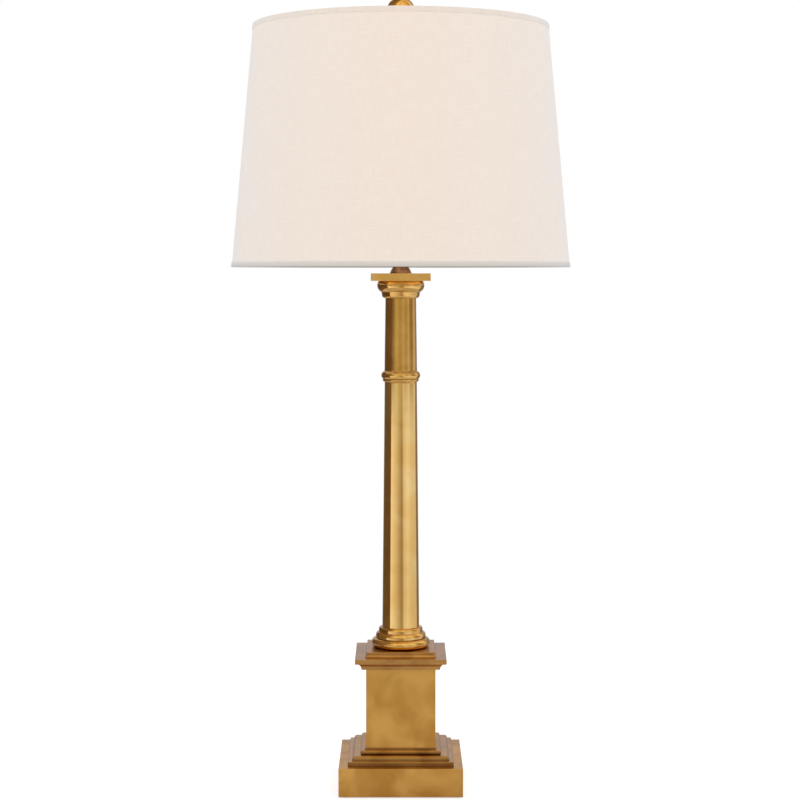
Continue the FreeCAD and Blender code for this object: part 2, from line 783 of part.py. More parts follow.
def build_foot():
    """Turned foot: a torus, a smaller ring and a collar, with a spigot up into the shaft."""
    collar = DIM.lower_shaft_foot + DIM.foot_collar_ledge
    ring = collar + DIM.foot_ring_ledge
    torus = ring + DIM.foot_torus_ledge
    groove = ring - DIM.foot_groove_inset
    torus_root = torus - DIM.foot_torus_radius
    torus_top = DIM.foot_torus_radius * 2
    ring_foot = torus_top + DIM.foot_groove_height
    ring_top = ring_foot + DIM.foot_ring_height
    spigot = DIM.lower_shaft_foot - DIM.shaft_wall - DIM.spigot_clearance
    bore = spigot - DIM.turned_wall
    foot = lathe("column_foot", [
        (PIPE_HOLE, 0),
        (torus_root, 0, DIM.foot_torus_radius),
        (torus, DIM.foot_torus_radius, DIM.foot_torus_radius),
        (torus_root, torus_top),
        (groove, torus_top),
        (groove, ring_foot),
        (ring, ring_foot),
        (ring, ring_foot + DIM.foot_ring_land, DIM.foot_ring_round),
        (ring - DIM.foot_ring_slope, ring_top),
        (collar, ring_top),
        (collar, FOOT_HEIGHT - DIM.foot_collar_round, DIM.foot_collar_round),
        (collar - DIM.foot_collar_round, FOOT_HEIGHT),
        (spigot, FOOT_HEIGHT),
        (spigot, FOOT_HEIGHT + DIM.turned_spigot),
        (bore, FOOT_HEIGHT + DIM.turned_spigot),
        (bore, DIM.casting_top),
        (PIPE_HOLE, DIM.casting_top),
    ])
    place(foot, z=FOOT_LEVEL)
    keep("column_foot", foot)


def build_shafts():
    """Two tapered brass tubes, the lower one long and the upper one short."""
    shafts = (
        ("lower_shaft", DIM.lower_shaft_foot, DIM.lower_shaft_head, DIM.lower_shaft_height,
         LOWER_SHAFT_FOOT),
        ("upper_shaft", DIM.upper_shaft_foot, DIM.upper_shaft_head, DIM.upper_shaft_height,
         UPPER_SHAFT_FOOT),
    )
    for node, foot, head, height, level in shafts:
        shaft = lathe(node, [
            (foot - DIM.shaft_wall, 0),
            (foot, 0),
            (head, height),
            (head - DIM.shaft_wall, height),
        ])
        place(shaft, z=level)
        keep(node, shaft)


def build_ring():
    """Turned ring between the shafts: a small bead under a fat one, a spigot into each shaft."""
    bead = DIM.lower_shaft_head + DIM.ring_bead_swell
    bead_root = bead - DIM.ring_bead_radius
    bead_end = DIM.ring_split - DIM.ring_bead_middle
    bead_edge = bead_root + (DIM.ring_bead_radius * DIM.ring_bead_radius
                             - bead_end * bead_end).root()
    torus = DIM.lower_shaft_head + DIM.ring_torus_swell
    torus_root = torus - DIM.ring_torus_radius
    torus_dip = DIM.ring_torus_middle - DIM.ring_split
    torus_square = DIM.ring_torus_radius * DIM.ring_torus_radius
    torus_foot = torus_root + (torus_square - torus_dip * torus_dip).root()
    land = DIM.upper_shaft_foot
    torus_inset = land - torus_root
    torus_top = DIM.ring_torus_middle + (torus_square - torus_inset * torus_inset).root()
    low_spigot = DIM.lower_shaft_head - DIM.shaft_wall - DIM.spigot_clearance
    high_spigot = DIM.upper_shaft_foot - DIM.shaft_wall - DIM.spigot_clearance
    bore = low_spigot - DIM.turned_wall
    ring = lathe("column_ring", [
        (PIPE_HOLE, 0),
        (bore, 0),
        (bore, -DIM.turned_spigot),
        (low_spigot, -DIM.turned_spigot),
        (low_spigot, 0),
        (DIM.lower_shaft_head, 0),
        (bead_root, DIM.ring_bead_middle - DIM.ring_bead_radius, DIM.ring_bead_radius),
        (bead, DIM.ring_bead_middle, DIM.ring_bead_radius),
        (bead_edge, DIM.ring_split),
        (torus_foot, DIM.ring_split, DIM.ring_torus_radius),
        (torus, DIM.ring_torus_middle, DIM.ring_torus_radius),
        (land, torus_top),
        (land, DIM.ring_height),
        (high_spigot, DIM.ring_height),
        (high_spigot, DIM.ring_height + DIM.turned_spigot),
        (bore, DIM.ring_height + DIM.turned_spigot),
        (bore, DIM.casting_top),
        (PIPE_HOLE, DIM.casting_top),
    ])
    place(ring, z=RING_LEVEL)
    keep("column_ring", ring)


def build_capital():
    """Turned capital: a collar and a round echinus under the square abacus."""
    foot = DIM.upper_shaft_head + DIM.capital_foot_ledge
    bead = foot + DIM.capital_bead_swell
    bead_top = bead + DIM.capital_bead_slope
    reach = bead_top + DIM.capital_ledge
    root = reach - DIM.capital_round
    square = DIM.capital_round * DIM.capital_round
    dip = DIM.capital_middle - DIM.capital_bead_height
    rise = DIM.capital_height - DIM.capital_middle
    spigot = DIM.upper_shaft_head - DIM.shaft_wall - DIM.spigot_clearance
    bore = spigot - DIM.turned_wall
    capital = lathe("capital", [
        (bore, -DIM.turned_spigot),
        (spigot, -DIM.turned_spigot),
        (spigot, 0),
        (foot, 0, DIM.capital_bead_flare),
        (bead, DIM.capital_bead_round),
        (bead_top, DIM.capital_bead_height),
        (root + (square - dip * dip).root(), DIM.capital_bead_height, DIM.capital_round),
        (reach, DIM.capital_middle, DIM.capital_round),
        (root + (square - rise * rise).root(), DIM.capital_height),
        (PIPE_HOLE, DIM.capital_height),
        (PIPE_HOLE, DIM.capital_height - DIM.casting_top),
        (bore, DIM.capital_height - DIM.casting_top),
    ])
    place(capital, z=CAPITAL_LEVEL)
    keep("capital", capital)


def build_abacus():
    """Square brass plate on the capital."""
    half = DIM.abacus_width / 2
    rounding = DIM.abacus_edge_round
    plate = mitred("abacus_plate", [
        (half - rounding, 0, rounding),
        (half, rounding),
        (half, DIM.abacus_height - rounding, rounding),
        (half - rounding, DIM.abacus_height),
    ])
    place(plate, z=ABACUS_LEVEL)
    hole = rod("abacus_hole", PIPE_HOLE, NECK_LEVEL)
    keep("abacus", carved("abacus", plate, [hole]))


def build_neck():
    """Dark turned cone with a small bead at its waist, between the abacus and the saddle."""
    waist = PIPE_HOLE + DIM.neck_waist_wall
    bead = waist + DIM.neck_bead_swell
    bead_root = bead - DIM.neck_bead_radius
    bead_middle = DIM.neck_waist_height + DIM.neck_bead_radius
    neck = lathe("neck_cone", [
        (PIPE_HOLE, 0),
        (DIM.neck_flange, 0),
        (DIM.neck_flange, DIM.neck_flange_height),
        (waist, DIM.neck_waist_height),
        (bead_root, DIM.neck_waist_height, DIM.neck_bead_radius),
        (bead, bead_middle, DIM.neck_bead_radius),
        (bead_root, bead_middle + DIM.neck_bead_radius),
        (PIPE_HOLE + DIM.neck_wall, DIM.neck_height),
        (PIPE_HOLE, DIM.neck_height),
    ])
    place(neck, z=NECK_LEVEL)
    keep("neck_cone", neck)


# Saddle, harp and stud -------------------------------------------------------------------------

def build_saddle():
    """Steel strip with an eye for the pipe and two upturned ends, each with a narrow tongue."""
    thickness = DIM.saddle_thickness
    inner = DIM.tongue_reach - thickness / 2
    outer = inner + thickness
    strip = pad("saddle_strip", "XZ_Plane", [
        (-outer, 0), (outer, 0), (outer, DIM.saddle_rise), (inner, DIM.saddle_rise),
        (inner, thickness), (-inner, thickness), (-inner, DIM.saddle_rise),
        (-outer, DIM.saddle_rise),
    ], DIM.saddle_width, symmetric=True)
    place(strip, z=SADDLE_LEVEL)
    eye = rod("saddle_eye", DIM.saddle_eye, thickness, z=SADDLE_LEVEL)
    tongues = [
        box(f"tongue_{side}", thickness, DIM.tongue_width, DIM.tongue_height + OVERLAP,
            x=reach, z=SADDLE_LEVEL + DIM.saddle_rise - OVERLAP)
        for side, reach in (("left", -DIM.tongue_reach), ("right", DIM.tongue_reach))
    ]
    hole = rod("saddle_hole", PIPE_HOLE, LOCK_NUT_LEVEL)
    keep("harp_saddle", carved("harp_saddle", joined("saddle_body", [strip, eye] + tongues),
                               [hole]))
    nut = hex_nut("lock_nut", DIM.pipe_radius, DIM.lock_nut_wall, DIM.lock_nut_thickness)
    place(nut, z=LOCK_NUT_LEVEL)
    keep("lock_nut", nut)


def leg_reach():
    """Distance from the lamp's axis to the middle of a harp leg, just outside its tongue."""
    return (DIM.tongue_reach + DIM.saddle_thickness / 2 + DIM.harp_gap + DIM.harp_wire)


def build_harp():
    """Bent steel wire bow with a boss at its crown, drilled for the swivel stud."""
    reach = leg_reach().value
    foot = HARP_FOOT.value
    crown = HARP_CROWN.value
    bend = foot + DIM.harp_leg.value
    bow = bend + DIM.harp_bow_rise.value
    right = [(reach, foot), (reach, bend), (DIM.harp_bow_half.value, bow),
             (DIM.harp_shoulder_half.value, crown)]
    left = [(-x, z) for x, z in reversed(right)]
    points = [FreeCAD.Vector(x, 0, z) for x, z in right + left]
    side = [DIM.harp_leg_bend.value, DIM.harp_bow_bend.value, DIM.harp_shoulder_bend.value]
    wire = wire_rod("harp_wire_bow", DIM.harp_wire.value, points, side + side[::-1])
    boss_foot = HARP_CROWN - DIM.harp_boss_height / 2
    boss = rod("harp_boss", DIM.harp_boss_radius, DIM.harp_boss_height, z=boss_foot)
    hole = rod("harp_hole", DIM.stud_shank + DIM.running_clearance,
               DIM.harp_boss_height + OVERLAP * 2, z=boss_foot - OVERLAP)
    keep("harp", carved("harp", joined("harp_with_boss", [wire, boss]), [hole]))


def build_sleeves():
    """Oval locking sleeves that hold the harp's feet to the tongues of the saddle."""
    reach = leg_reach()
    inner_edge = DIM.tongue_reach - DIM.saddle_thickness / 2 - DIM.sleeve_clearance
    outer_edge = reach + DIM.harp_wire + DIM.sleeve_clearance
    depth = DIM.tongue_width + DIM.sleeve_clearance * 2
    wall = DIM.sleeve_wall * 2
    for node, side in (("left_sleeve", -1), ("right_sleeve", 1)):
        middle = (inner_edge + outer_edge) / 2 * side
        width = outer_edge - inner_edge
        tube = box(f"{node}_tube", width + wall, depth + wall, DIM.sleeve_height,
                   x=middle, z=HARP_FOOT)
        slot = box(f"{node}_slot", width, depth, DIM.sleeve_height, x=middle, z=HARP_FOOT)
        keep(node, carved(node, tube, [slot]))


def build_stud():
    """Swivel stud riveted through the harp's boss, with the seat and thread for the finial."""
    shank_length = DIM.harp_boss_height + DIM.seat_gap * 2
    flange_foot = DIM.stud_head_height + shank_length
    flange_top = flange_foot + DIM.stud_flange_height
    boss_top = flange_top + DIM.stud_boss_height
    top = boss_top + DIM.stud_thread_height
    stud = lathe("harp_stud", [
        (0, 0),
        (DIM.stud_head, 0),
        (DIM.stud_head, DIM.stud_head_height),
        (DIM.stud_shank, DIM.stud_head_height),
        (DIM.stud_shank, flange_foot),
        (DIM.stud_flange, flange_foot),
        (DIM.stud_flange, flange_top),
        (DIM.stud_boss, flange_top),
        (DIM.stud_boss, boss_top),
        (DIM.stud_thread, boss_top),
        (DIM.stud_thread, top),
        (0, top),
    ])
    head_foot = (HARP_CROWN - DIM.harp_boss_height / 2 - DIM.seat_gap - DIM.stud_head_height)
    place(stud, z=head_foot)
    keep("harp_stud", stud)


# Socket ----------------------------------------------------------------------------------------

def build_socket_cap():
    """Spun brass cap with a threaded boss on the pipe, and the set screw that locks it."""
    wall = DIM.cap_wall
    rim_foot = DIM.cap_height - DIM.cap_rim_height
    cap = lathe("socket_cap_spun", [
        (DIM.pipe_radius, 0),
        (CAP_BOSS, 0),
        (CAP_BOSS, DIM.cap_boss_height - wall, DIM.cap_dome_round),
        (CAP_RIM, rim_foot),
        (CAP_RIM, DIM.cap_height),
        (CAP_RIM - wall, DIM.cap_height),
        (CAP_RIM - wall, rim_foot, -DIM.cap_dome_round),
        (CAP_BOSS, DIM.cap_boss_height),
        (DIM.pipe_radius, DIM.cap_boss_height),
    ])
    place(cap, z=SOCKET_LEVEL)
    screw_level = SOCKET_LEVEL + DIM.cap_boss_height / 2
    tap = rod("set_screw_tap", DIM.set_screw_radius, CAP_BOSS, z=screw_level,
              along=X_AXIS)
    keep("socket_cap", carved("socket_cap", cap, [tap]))
    shank = rod("set_screw_shank", DIM.set_screw_radius,
                CAP_BOSS - DIM.pipe_radius + OVERLAP,
                x=DIM.pipe_radius, z=screw_level, along=X_AXIS)
    head = rod("set_screw_head", DIM.set_screw_head, DIM.set_screw_head_height,
               x=CAP_BOSS + DIM.socket_gap, z=screw_level, along=X_AXIS)
    keep("set_screw", joined("set_screw", [shank, head]))


def build_socket_shell():
    """Brass outer shell pressed into the cap, and the fibre sleeve that lines it."""
    stem_hole = DIM.switch_stem_radius + DIM.switch_hole_clearance
    layers = (
        ("socket_shell", DIM.shell_radius, DIM.shell_wall, SHELL_LEVEL, DIM.shell_height),
        ("insulating_sleeve", SLEEVE_RADIUS, DIM.sleeve_paper_wall, SHELL_LEVEL,
         DIM.shell_height - DIM.shell_wall),
    )
    for node, radius, wall, level, height in layers:
        tube = lathe(f"{node}_tube", [
            (radius - wall, 0),
            (radius, 0),
            (radius, height),
            (radius - wall, height),
        ])
        place(tube, z=level)
        hole = rod(f"{node}_switch_hole", stem_hole, DIM.shell_radius * 2, z=SWITCH_LEVEL,
                   along=-Y_AXIS)
        keep(node, carved(node, tube, [hole]))


def build_socket_body():
    """Moulded switch body with two flats for the terminals and a blind hole for the stem."""
    radius = SOCKET_BODY
    drum = rod("socket_drum", radius, DIM.socket_body_height, z=SOCKET_BODY_LEVEL)
    flat_height = DIM.socket_body_height - DIM.casting_top
    terminal_level = SOCKET_BODY_LEVEL + flat_height / 2
    flats = []
    screws = []
    taps = []
    start = DIM.socket_body_flat - DIM.terminal_depth
    for name, side, axis in (("left", -1, -X_AXIS), ("right", 1, X_AXIS)):
        flats.append(box(f"{name}_terminal_flat", radius, radius * 2, flat_height,
                         x=(DIM.socket_body_flat + radius / 2) * side, z=SOCKET_BODY_LEVEL))
        taps.append(rod(f"{name}_terminal_tap", DIM.terminal_shank, DIM.terminal_depth,
                        x=start * side, z=terminal_level, along=axis))
        shank = rod(f"{name}_terminal_shank", DIM.terminal_shank,
                    DIM.terminal_depth + DIM.terminal_head_height,
                    x=start * side, z=terminal_level, along=axis)
        head = rod(f"{name}_terminal_head", DIM.terminal_head, DIM.terminal_head_height,
                   x=DIM.socket_body_flat * side, z=terminal_level, along=axis)
        screws.append(joined(f"{name}_terminal_screw", [shank, head]))
    depth = radius - DIM.switch_stem_depth
    stem_hole = rod("socket_stem_hole", DIM.switch_stem_radius + DIM.running_clearance, radius,
                    y=-depth + DIM.running_clearance, z=SWITCH_LEVEL, along=-Y_AXIS)
    keep("socket_body", carved("socket_body", drum, flats + taps + [stem_hole]))
    keep("terminal_screws", group("terminal_screws", screws))


def build_socket_contacts():
    """Threaded shell that holds the bulb's cap, and the sprung contact under its tip."""
    outer = DIM.screw_shell_bore + DIM.screw_shell_wall
    contact_hole = DIM.contact_radius + DIM.contact_clearance
    shell = lathe("screw_shell", [
        (contact_hole, 0),
        (outer, 0),
        (outer, DIM.screw_shell_height),
        (DIM.screw_shell_bore, DIM.screw_shell_height),
        (DIM.screw_shell_bore, DIM.screw_shell_wall),
        (contact_hole, DIM.screw_shell_wall),
    ])
    place(shell, z=SOCKET_DECK)
    keep("screw_shell", shell)
    keep("centre_contact", rod("centre_contact", DIM.contact_radius, DIM.contact_height,
                               z=SOCKET_DECK))


def build_switch():
    """Turn knob with a fluted rim, pinned to the stem of the rotary switch."""
    inner_end = SOCKET_BODY - DIM.switch_stem_depth
    stem = rod("switch_stem", DIM.switch_stem_radius, DIM.switch_stem_reach - inner_end,
               y=-inner_end, z=SWITCH_LEVEL, along=-Y_AXIS)
    keep("switch_stem", stem)
    rounding = DIM.knob_edge_round
    bore = DIM.switch_stem_radius
    bore_depth = DIM.knob_bore_depth
    blank = lathe("knob_blank", [
        (0, bore_depth),
        (bore, bore_depth),
        (bore, 0),
        (DIM.knob_radius, 0),
        (DIM.knob_radius, DIM.knob_length - rounding, rounding),
        (DIM.knob_radius - rounding, DIM.knob_length),
        (0, DIM.knob_length),
    ])
    knob_foot = DIM.switch_stem_reach - bore_depth
    flutes = []
    for number in range(KNOB_FLUTES):
        angle = math.radians(FULL_TURN / KNOB_FLUTES * number)
        flute = rod(f"knob_flute_{number + 1}", DIM.knob_flute,
                    DIM.knob_length - DIM.knob_plain_band,
                    x=DIM.knob_radius * math.cos(angle), y=DIM.knob_radius * math.sin(angle),
                    z=DIM.knob_plain_band)
        flutes.append(flute)
    knob = carved("switch_knob", blank, flutes)
    knob.Placement = FreeCAD.Placement(FreeCAD.Vector(), FreeCAD.Rotation(Z_AXIS, -Y_AXIS))
    place(knob, y=-knob_foot, z=SWITCH_LEVEL)
    keep("switch_knob", knob)


# Bulb ------------------------------------------------------------------------------------------

def build_bulb_cap():
    """Brass screw cap, its black insulator and the solder tip."""
    tip = lathe("bulb_tip", [
        (0, 0),
        (DIM.bulb_tip_radius, 0),
        (DIM.bulb_tip_radius, DIM.bulb_tip_height),
        (0, DIM.bulb_tip_height),
    ])
    place(tip, z=BULB_FOOT)
    keep("bulb_tip", tip)
    insulator_foot = BULB_FOOT + DIM.bulb_tip_height
    insulator = lathe("bulb_insulator", [
        (0, 0),
        (DIM.bulb_tip_radius, 0),
        (DIM.bulb_insulator_radius, DIM.bulb_insulator_height),
        (0, DIM.bulb_insulator_height),
    ])
    place(insulator, z=insulator_foot)
    keep("bulb_insulator", insulator)
    inner = BULB_CAP - DIM.bulb_cap_wall
    cap = lathe("bulb_cap", [
        (DIM.bulb_insulator_radius - DIM.bulb_cap_wall, 0),
        (DIM.bulb_insulator_radius, 0),
        (BULB_CAP, DIM.bulb_insulator_height),
        (BULB_CAP, DIM.bulb_cap_height),
        (inner, DIM.bulb_cap_height),
        (inner, DIM.bulb_insulator_height),
    ])
    place(cap, z=insulator_foot + DIM.bulb_insulator_height)
    keep("bulb_cap", cap)


def build_bulb_glass():
    """Pear-shaped frosted glass whose neck is cemented into the screw cap."""
    thick = DIM.bulb_glass
    cap_top = (DIM.bulb_tip_height + DIM.bulb_insulator_height + DIM.bulb_cap_height)
    seat = BULB_CAP - DIM.bulb_cap_wall - DIM.socket_gap
    seat_foot = cap_top - DIM.bulb_glass_seat
    neck = DIM.bulb_neck_radius
    middle = DIM.bulb_length - DIM.bulb_globe_radius
    lean = math.radians(BULB_FLANK_ANGLE)

    def globe(radius):
        return radius * math.cos(lean), middle - radius * math.sin(lean)

    outer_flank = globe(DIM.bulb_globe_radius)
    inner_flank = globe(DIM.bulb_globe_radius - thick)
    neck_top = DIM.bulb_neck_height + DIM.bulb_tip_height
    bend = DIM.bulb_shoulder_round
    glass = lathe("bulb_glass", [
        (seat - thick, seat_foot),
        (seat, seat_foot),
        (seat, cap_top),
        (neck, cap_top + thick),
        (neck, neck_top, -bend),
        (outer_flank[0], outer_flank[1], DIM.bulb_globe_radius),
        (DIM.bulb_globe_radius, middle, DIM.bulb_globe_radius),
        (0, DIM.bulb_length),
        (0, DIM.bulb_length - thick, -(DIM.bulb_globe_radius - thick)),
        (DIM.bulb_globe_radius - thick, middle, -(DIM.bulb_globe_radius - thick)),
        (inner_flank[0], inner_flank[1], bend + thick),
        (neck - thick, neck_top),
        (neck - thick, cap_top + thick * 2),
        (seat - thick, cap_top + thick),
    ])
    place(glass, z=BULB_FOOT)
    keep("bulb_glass", glass)
    stem_foot = BULB_FOOT + seat_foot
    flange = seat - thick - DIM.socket_gap
    stem = lathe("filament_stem", [
        (0, 0),
        (flange, 0),
        (flange, DIM.stem_flange_height),
        (DIM.stem_radius, DIM.stem_shoulder_height),
        (DIM.stem_radius, DIM.stem_height),
        (0, DIM.stem_height),
    ])
    place(stem, z=stem_foot)
    keep("filament_stem", stem)
    wire_foot = (stem_foot + DIM.stem_height).value
    wire_top = wire_foot + DIM.support_height.value
    foot_half = DIM.support_half.value
    head_half = DIM.support_head_half.value
    points = [FreeCAD.Vector(x, 0, z) for x, z in (
        (-foot_half, wire_foot), (-head_half, wire_top), (head_half, wire_top),
        (foot_half, wire_foot))]
    keep("filament", wire_rod("filament", DIM.support_radius.value, points,
                              [DIM.support_bend.value] * 2))


# Shade -----------------------------------------------------------------------------------------

def shade_radius(height, inset=0):
    """Radius of the shade's outer linen at a height above its lower edge, less an inset."""
    drop = (DIM.shade_bottom_radius - DIM.shade_top_radius) / DIM.shade_height
    return DIM.shade_bottom_radius - drop * height - inset


def cone_wall(node, inset, thickness):
    """One layer of the shade's wall between the two tapes."""
    foot = DIM.tape_thickness
    head = DIM.shade_height - DIM.tape_thickness
    wall = lathe(node, [
        (shade_radius(foot, inset + thickness), foot),
        (shade_radius(foot, inset), foot),
        (shade_radius(head, inset), head),
        (shade_radius(head, inset + thickness), head),
    ])
    place(wall, z=SHADE_BOTTOM)
    keep(node, wall)


def build_shade_walls():
    """White linen glued to a stiff styrene liner."""
    cone_wall("shade_linen", as_size(0), DIM.linen_thickness)
    cone_wall("shade_liner", DIM.linen_thickness + DIM.glue_line, DIM.liner_thickness)


def build_tapes():
    """Folded linen tape round each edge: a band outside the linen and a base under the edge."""
    inset = DIM.linen_thickness + DIM.glue_line + DIM.liner_thickness + DIM.hoop_wire * 2
    edge = DIM.tape_thickness
    low_top = DIM.tape_height
    high_foot = DIM.shade_height - DIM.tape_height
    high_seat = DIM.shade_height - edge
    lower = lathe("lower_tape", [
        (shade_radius(as_size(0), inset), 0),
        (shade_radius(as_size(0)) + edge, 0),
        (shade_radius(low_top) + edge, low_top),
        (shade_radius(low_top) + DIM.hoop_gap, low_top),
        (shade_radius(edge) + DIM.hoop_gap, edge),
        (shade_radius(edge, inset), edge),
    ])
    upper = lathe("upper_tape", [
        (shade_radius(high_foot) + DIM.hoop_gap, high_foot),
        (shade_radius(high_foot) + edge, high_foot),
        (shade_radius(DIM.shade_height) + edge, DIM.shade_height),
        (shade_radius(DIM.shade_height, inset), DIM.shade_height),
        (shade_radius(high_seat, inset), high_seat),
        (shade_radius(high_seat) + DIM.hoop_gap, high_seat),
    ])
    for node, tape in (("lower_tape", lower), ("upper_tape", upper)):
        place(tape, z=SHADE_BOTTOM)
        keep(node, tape)


def hoop_radius(height):
    wall = DIM.linen_thickness + DIM.glue_line + DIM.liner_thickness
    return shade_radius(height, wall + DIM.hoop_gap * 2 + DIM.hoop_wire)


def build_hoops():
    """Steel wire hoops just inside the liner, one at each edge."""
    low = DIM.tape_thickness + DIM.hoop_gap + DIM.hoop_wire
    for node, height in (("lower_hoop", low), ("upper_hoop", DIM.shade_height - low)):
        hoop = DOC.addObject("Part::Torus", node)
        bind(hoop, "Radius1", hoop_radius(height))
        bind(hoop, "Radius2", DIM.hoop_wire)
        place(hoop, z=SHADE_BOTTOM + height)
        keep(node, hoop)


def build_spider():
    """Washer with three welded arms that turn up at the upper hoop, recessed below the edge."""
    washer = rod("spider_washer", DIM.spider_washer_radius, DIM.spider_washer_thickness,
                 z=SPIDER_LEVEL)
    low = DIM.tape_thickness + DIM.hoop_gap + DIM.hoop_wire
    height = DIM.shade_height - low
    reach = (hoop_radius(height) - DIM.hoop_wire - DIM.hoop_gap - DIM.spider_wire).value
    top = (SHADE_BOTTOM + height).value
    level = (SPIDER_LEVEL + DIM.spider_washer_thickness / 2).value
    start = DIM.spider_washer_radius.value - DIM.spider_wire.value
    arms = []
    for number in range(SPIDER_ARMS):
        angle = math.radians(BACK_ANGLE + FULL_TURN / SPIDER_ARMS * number)
        outward = FreeCAD.Vector(math.cos(angle), math.sin(angle), 0)
        points = [
            outward * start + Z_AXIS * level,
            outward * reach + Z_AXIS * level,
            outward * reach + Z_AXIS * top,
        ]
        arms.append(wire_rod(f"spider_arm_{number + 1}", DIM.spider_wire.value, points,
                             [DIM.spider_bend.value]))
    hole = rod("spider_hole", DIM.stud_boss + DIM.spider_hole_clearance,
               DIM.spider_washer_thickness + OVERLAP * 2, z=SPIDER_LEVEL - OVERLAP)
    keep("spider", carved("spider", joined("spider_body", [washer] + arms), [hole]))


def build_finial():
    """Brass ball on a turned neck; both are tapped for the stud."""
    tap = DIM.stud_thread + DIM.running_clearance
    neck = lathe("finial_neck", [
        (tap, 0),
        (DIM.finial_flange, 0),
        (DIM.finial_flange, DIM.finial_flange_height),
        (DIM.finial_waist, DIM.finial_taper_top),
        (DIM.finial_waist, DIM.finial_neck_height - DIM.finial_cup_height),
        (DIM.finial_cup, DIM.finial_neck_height - DIM.finial_cup_height / 2),
        (DIM.finial_seat, DIM.finial_neck_height),
        (tap, DIM.finial_neck_height),
    ])
    place(neck, z=FINIAL_LEVEL)
    keep("finial_neck", neck)
    radius = DIM.finial_radius
    middle = (radius * radius - DIM.finial_seat * DIM.finial_seat).root()
    ball = lathe("finial_ball", [
        (tap, 0),
        (DIM.finial_seat, 0, radius),
        (radius, middle, radius),
        (0, middle + radius),
        (0, DIM.finial_tap_depth),
        (tap, DIM.finial_tap_depth),
    ])
    place(ball, z=BALL_SEAT)
    keep("finial_ball", ball)


def check_pieces():
    """Stop before writing if any object failed or any sub-part isn't a valid solid."""
    broken = [o.Name for o in DOC.Objects if {"Invalid", "Error"} & set(o.State)]
    if broken:
        raise RuntimeError(f"failed objects: {broken}")
    for node, piece in PIECES.items():
        shape = piece.Shape
        if shape.isNull() or not shape.isValid() or not shape.Solids:
            raise RuntimeError(f"{node} isn't a valid solid")


build_plinth()
build_underside()
build_weight()
build_pipe()
build_lead()
build_bushing()
build_steps()
build_die()
build_pedestal_cap()
build_foot()
build_shafts()
build_ring()
build_capital()
build_abacus()
build_neck()
build_saddle()
build_harp()
build_sleeves()
build_stud()
build_socket_cap()
build_socket_shell()
build_socket_body()
build_socket_contacts()
build_switch()
build_bulb_cap()
build_bulb_glass()
build_shade_walls()
build_tapes()
build_hoops()
build_spider()
build_finial()
DOC.recompute()
check_pieces()

os.makedirs("parts", exist_ok=True)
for node, piece in PIECES.items():
    piece.Shape.exportStep(f"parts/{node}.step")
    extent = piece.Shape.BoundBox
    print(f"{node}: {len(piece.Shape.Solids)} solid, z {extent.ZMin:.1f} to {extent.ZMax:.1f}, "
          f"volume {piece.Shape.Volume:.0f}")
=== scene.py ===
import math

import bpy
from mathutils import Matrix, Vector


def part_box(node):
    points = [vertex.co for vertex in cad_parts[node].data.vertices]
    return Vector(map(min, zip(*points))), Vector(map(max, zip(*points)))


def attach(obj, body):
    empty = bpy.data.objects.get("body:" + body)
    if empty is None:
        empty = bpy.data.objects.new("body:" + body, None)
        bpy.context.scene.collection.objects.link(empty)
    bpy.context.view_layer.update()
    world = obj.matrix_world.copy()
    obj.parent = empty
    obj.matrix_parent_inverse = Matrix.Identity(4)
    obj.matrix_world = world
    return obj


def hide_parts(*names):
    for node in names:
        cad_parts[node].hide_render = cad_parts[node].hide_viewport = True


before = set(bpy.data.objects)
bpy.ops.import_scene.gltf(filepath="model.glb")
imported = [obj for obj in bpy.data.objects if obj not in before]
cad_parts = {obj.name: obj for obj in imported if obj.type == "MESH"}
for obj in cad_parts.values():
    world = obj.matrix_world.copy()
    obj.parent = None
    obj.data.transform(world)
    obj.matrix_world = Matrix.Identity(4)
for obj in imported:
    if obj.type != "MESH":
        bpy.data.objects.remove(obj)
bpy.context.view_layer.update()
scene = bpy.context.scene


# Camera ----------------------------------------------------------------------------------------
# A lamp photographed from the front, with the lens just under the shade. The base shows its top
# faces and the shade shows neither of its openings.

LENS_MM = 87.77
CAMERA_PLACE = (-0.0008, -2.0343, 0.5343)
CAMERA_PITCH = 1.840
CAMERA_SHIFT = -0.08

camera_data = bpy.data.cameras.new("camera")
camera_data.lens = LENS_MM
camera_data.shift_y = CAMERA_SHIFT
camera_data.clip_end = 20
camera = bpy.data.objects.new("camera", camera_data)
camera.location = CAMERA_PLACE
camera.rotation_euler = (math.radians(90 - CAMERA_PITCH), 0, 0)
scene.collection.objects.link(camera)
scene.camera = camera


# Plinth ----------------------------------------------------------------------------------------
# A square cast brass box with filed corners. It was plated, darkened and rubbed back by hand,
# so the flat faces show soft cloudy patches under a satin lacquer.

MM = 0.001
# in mm: how far an edge and an upright corner are eased, and the bore that the pipe goes through
EDGE = 0.45
CORNER = 0.7
BORE_MM = 5.3
# a square ring narrower than this is the bore, which is round
ROUND_BELOW_MM = 8.4
BORE_ROUNDING = 0.97
CORNER_STEPS = 6
ARC_STEP = math.radians(6)
SHARP_TURN = math.radians(10)
EASED_SHARE = 0.35
SAME_SPOT = 0.001


def linear(code):
    """The linear colour of an sRGB hex code."""
    parts = [int(code[i:i + 2], 16) / 255 for i in (1, 3, 5)]
    return [p / 12.92 if p <= 0.04045 else ((p + 0.055) / 1.055) ** 2.4 for p in parts] + [1]


def knot(tree, kind, inputs=(), **settings):
    """One shader node with its settings, and a value or a link for each named input."""
    made = tree.nodes.new(kind)
    for name, value in settings.items():
        setattr(made, name, value)
    for name, source in dict(inputs).items():
        if isinstance(source, bpy.types.NodeSocket):
            tree.links.new(source, made.inputs[name])
        else:
            made.inputs[name].default_value = source
    return made


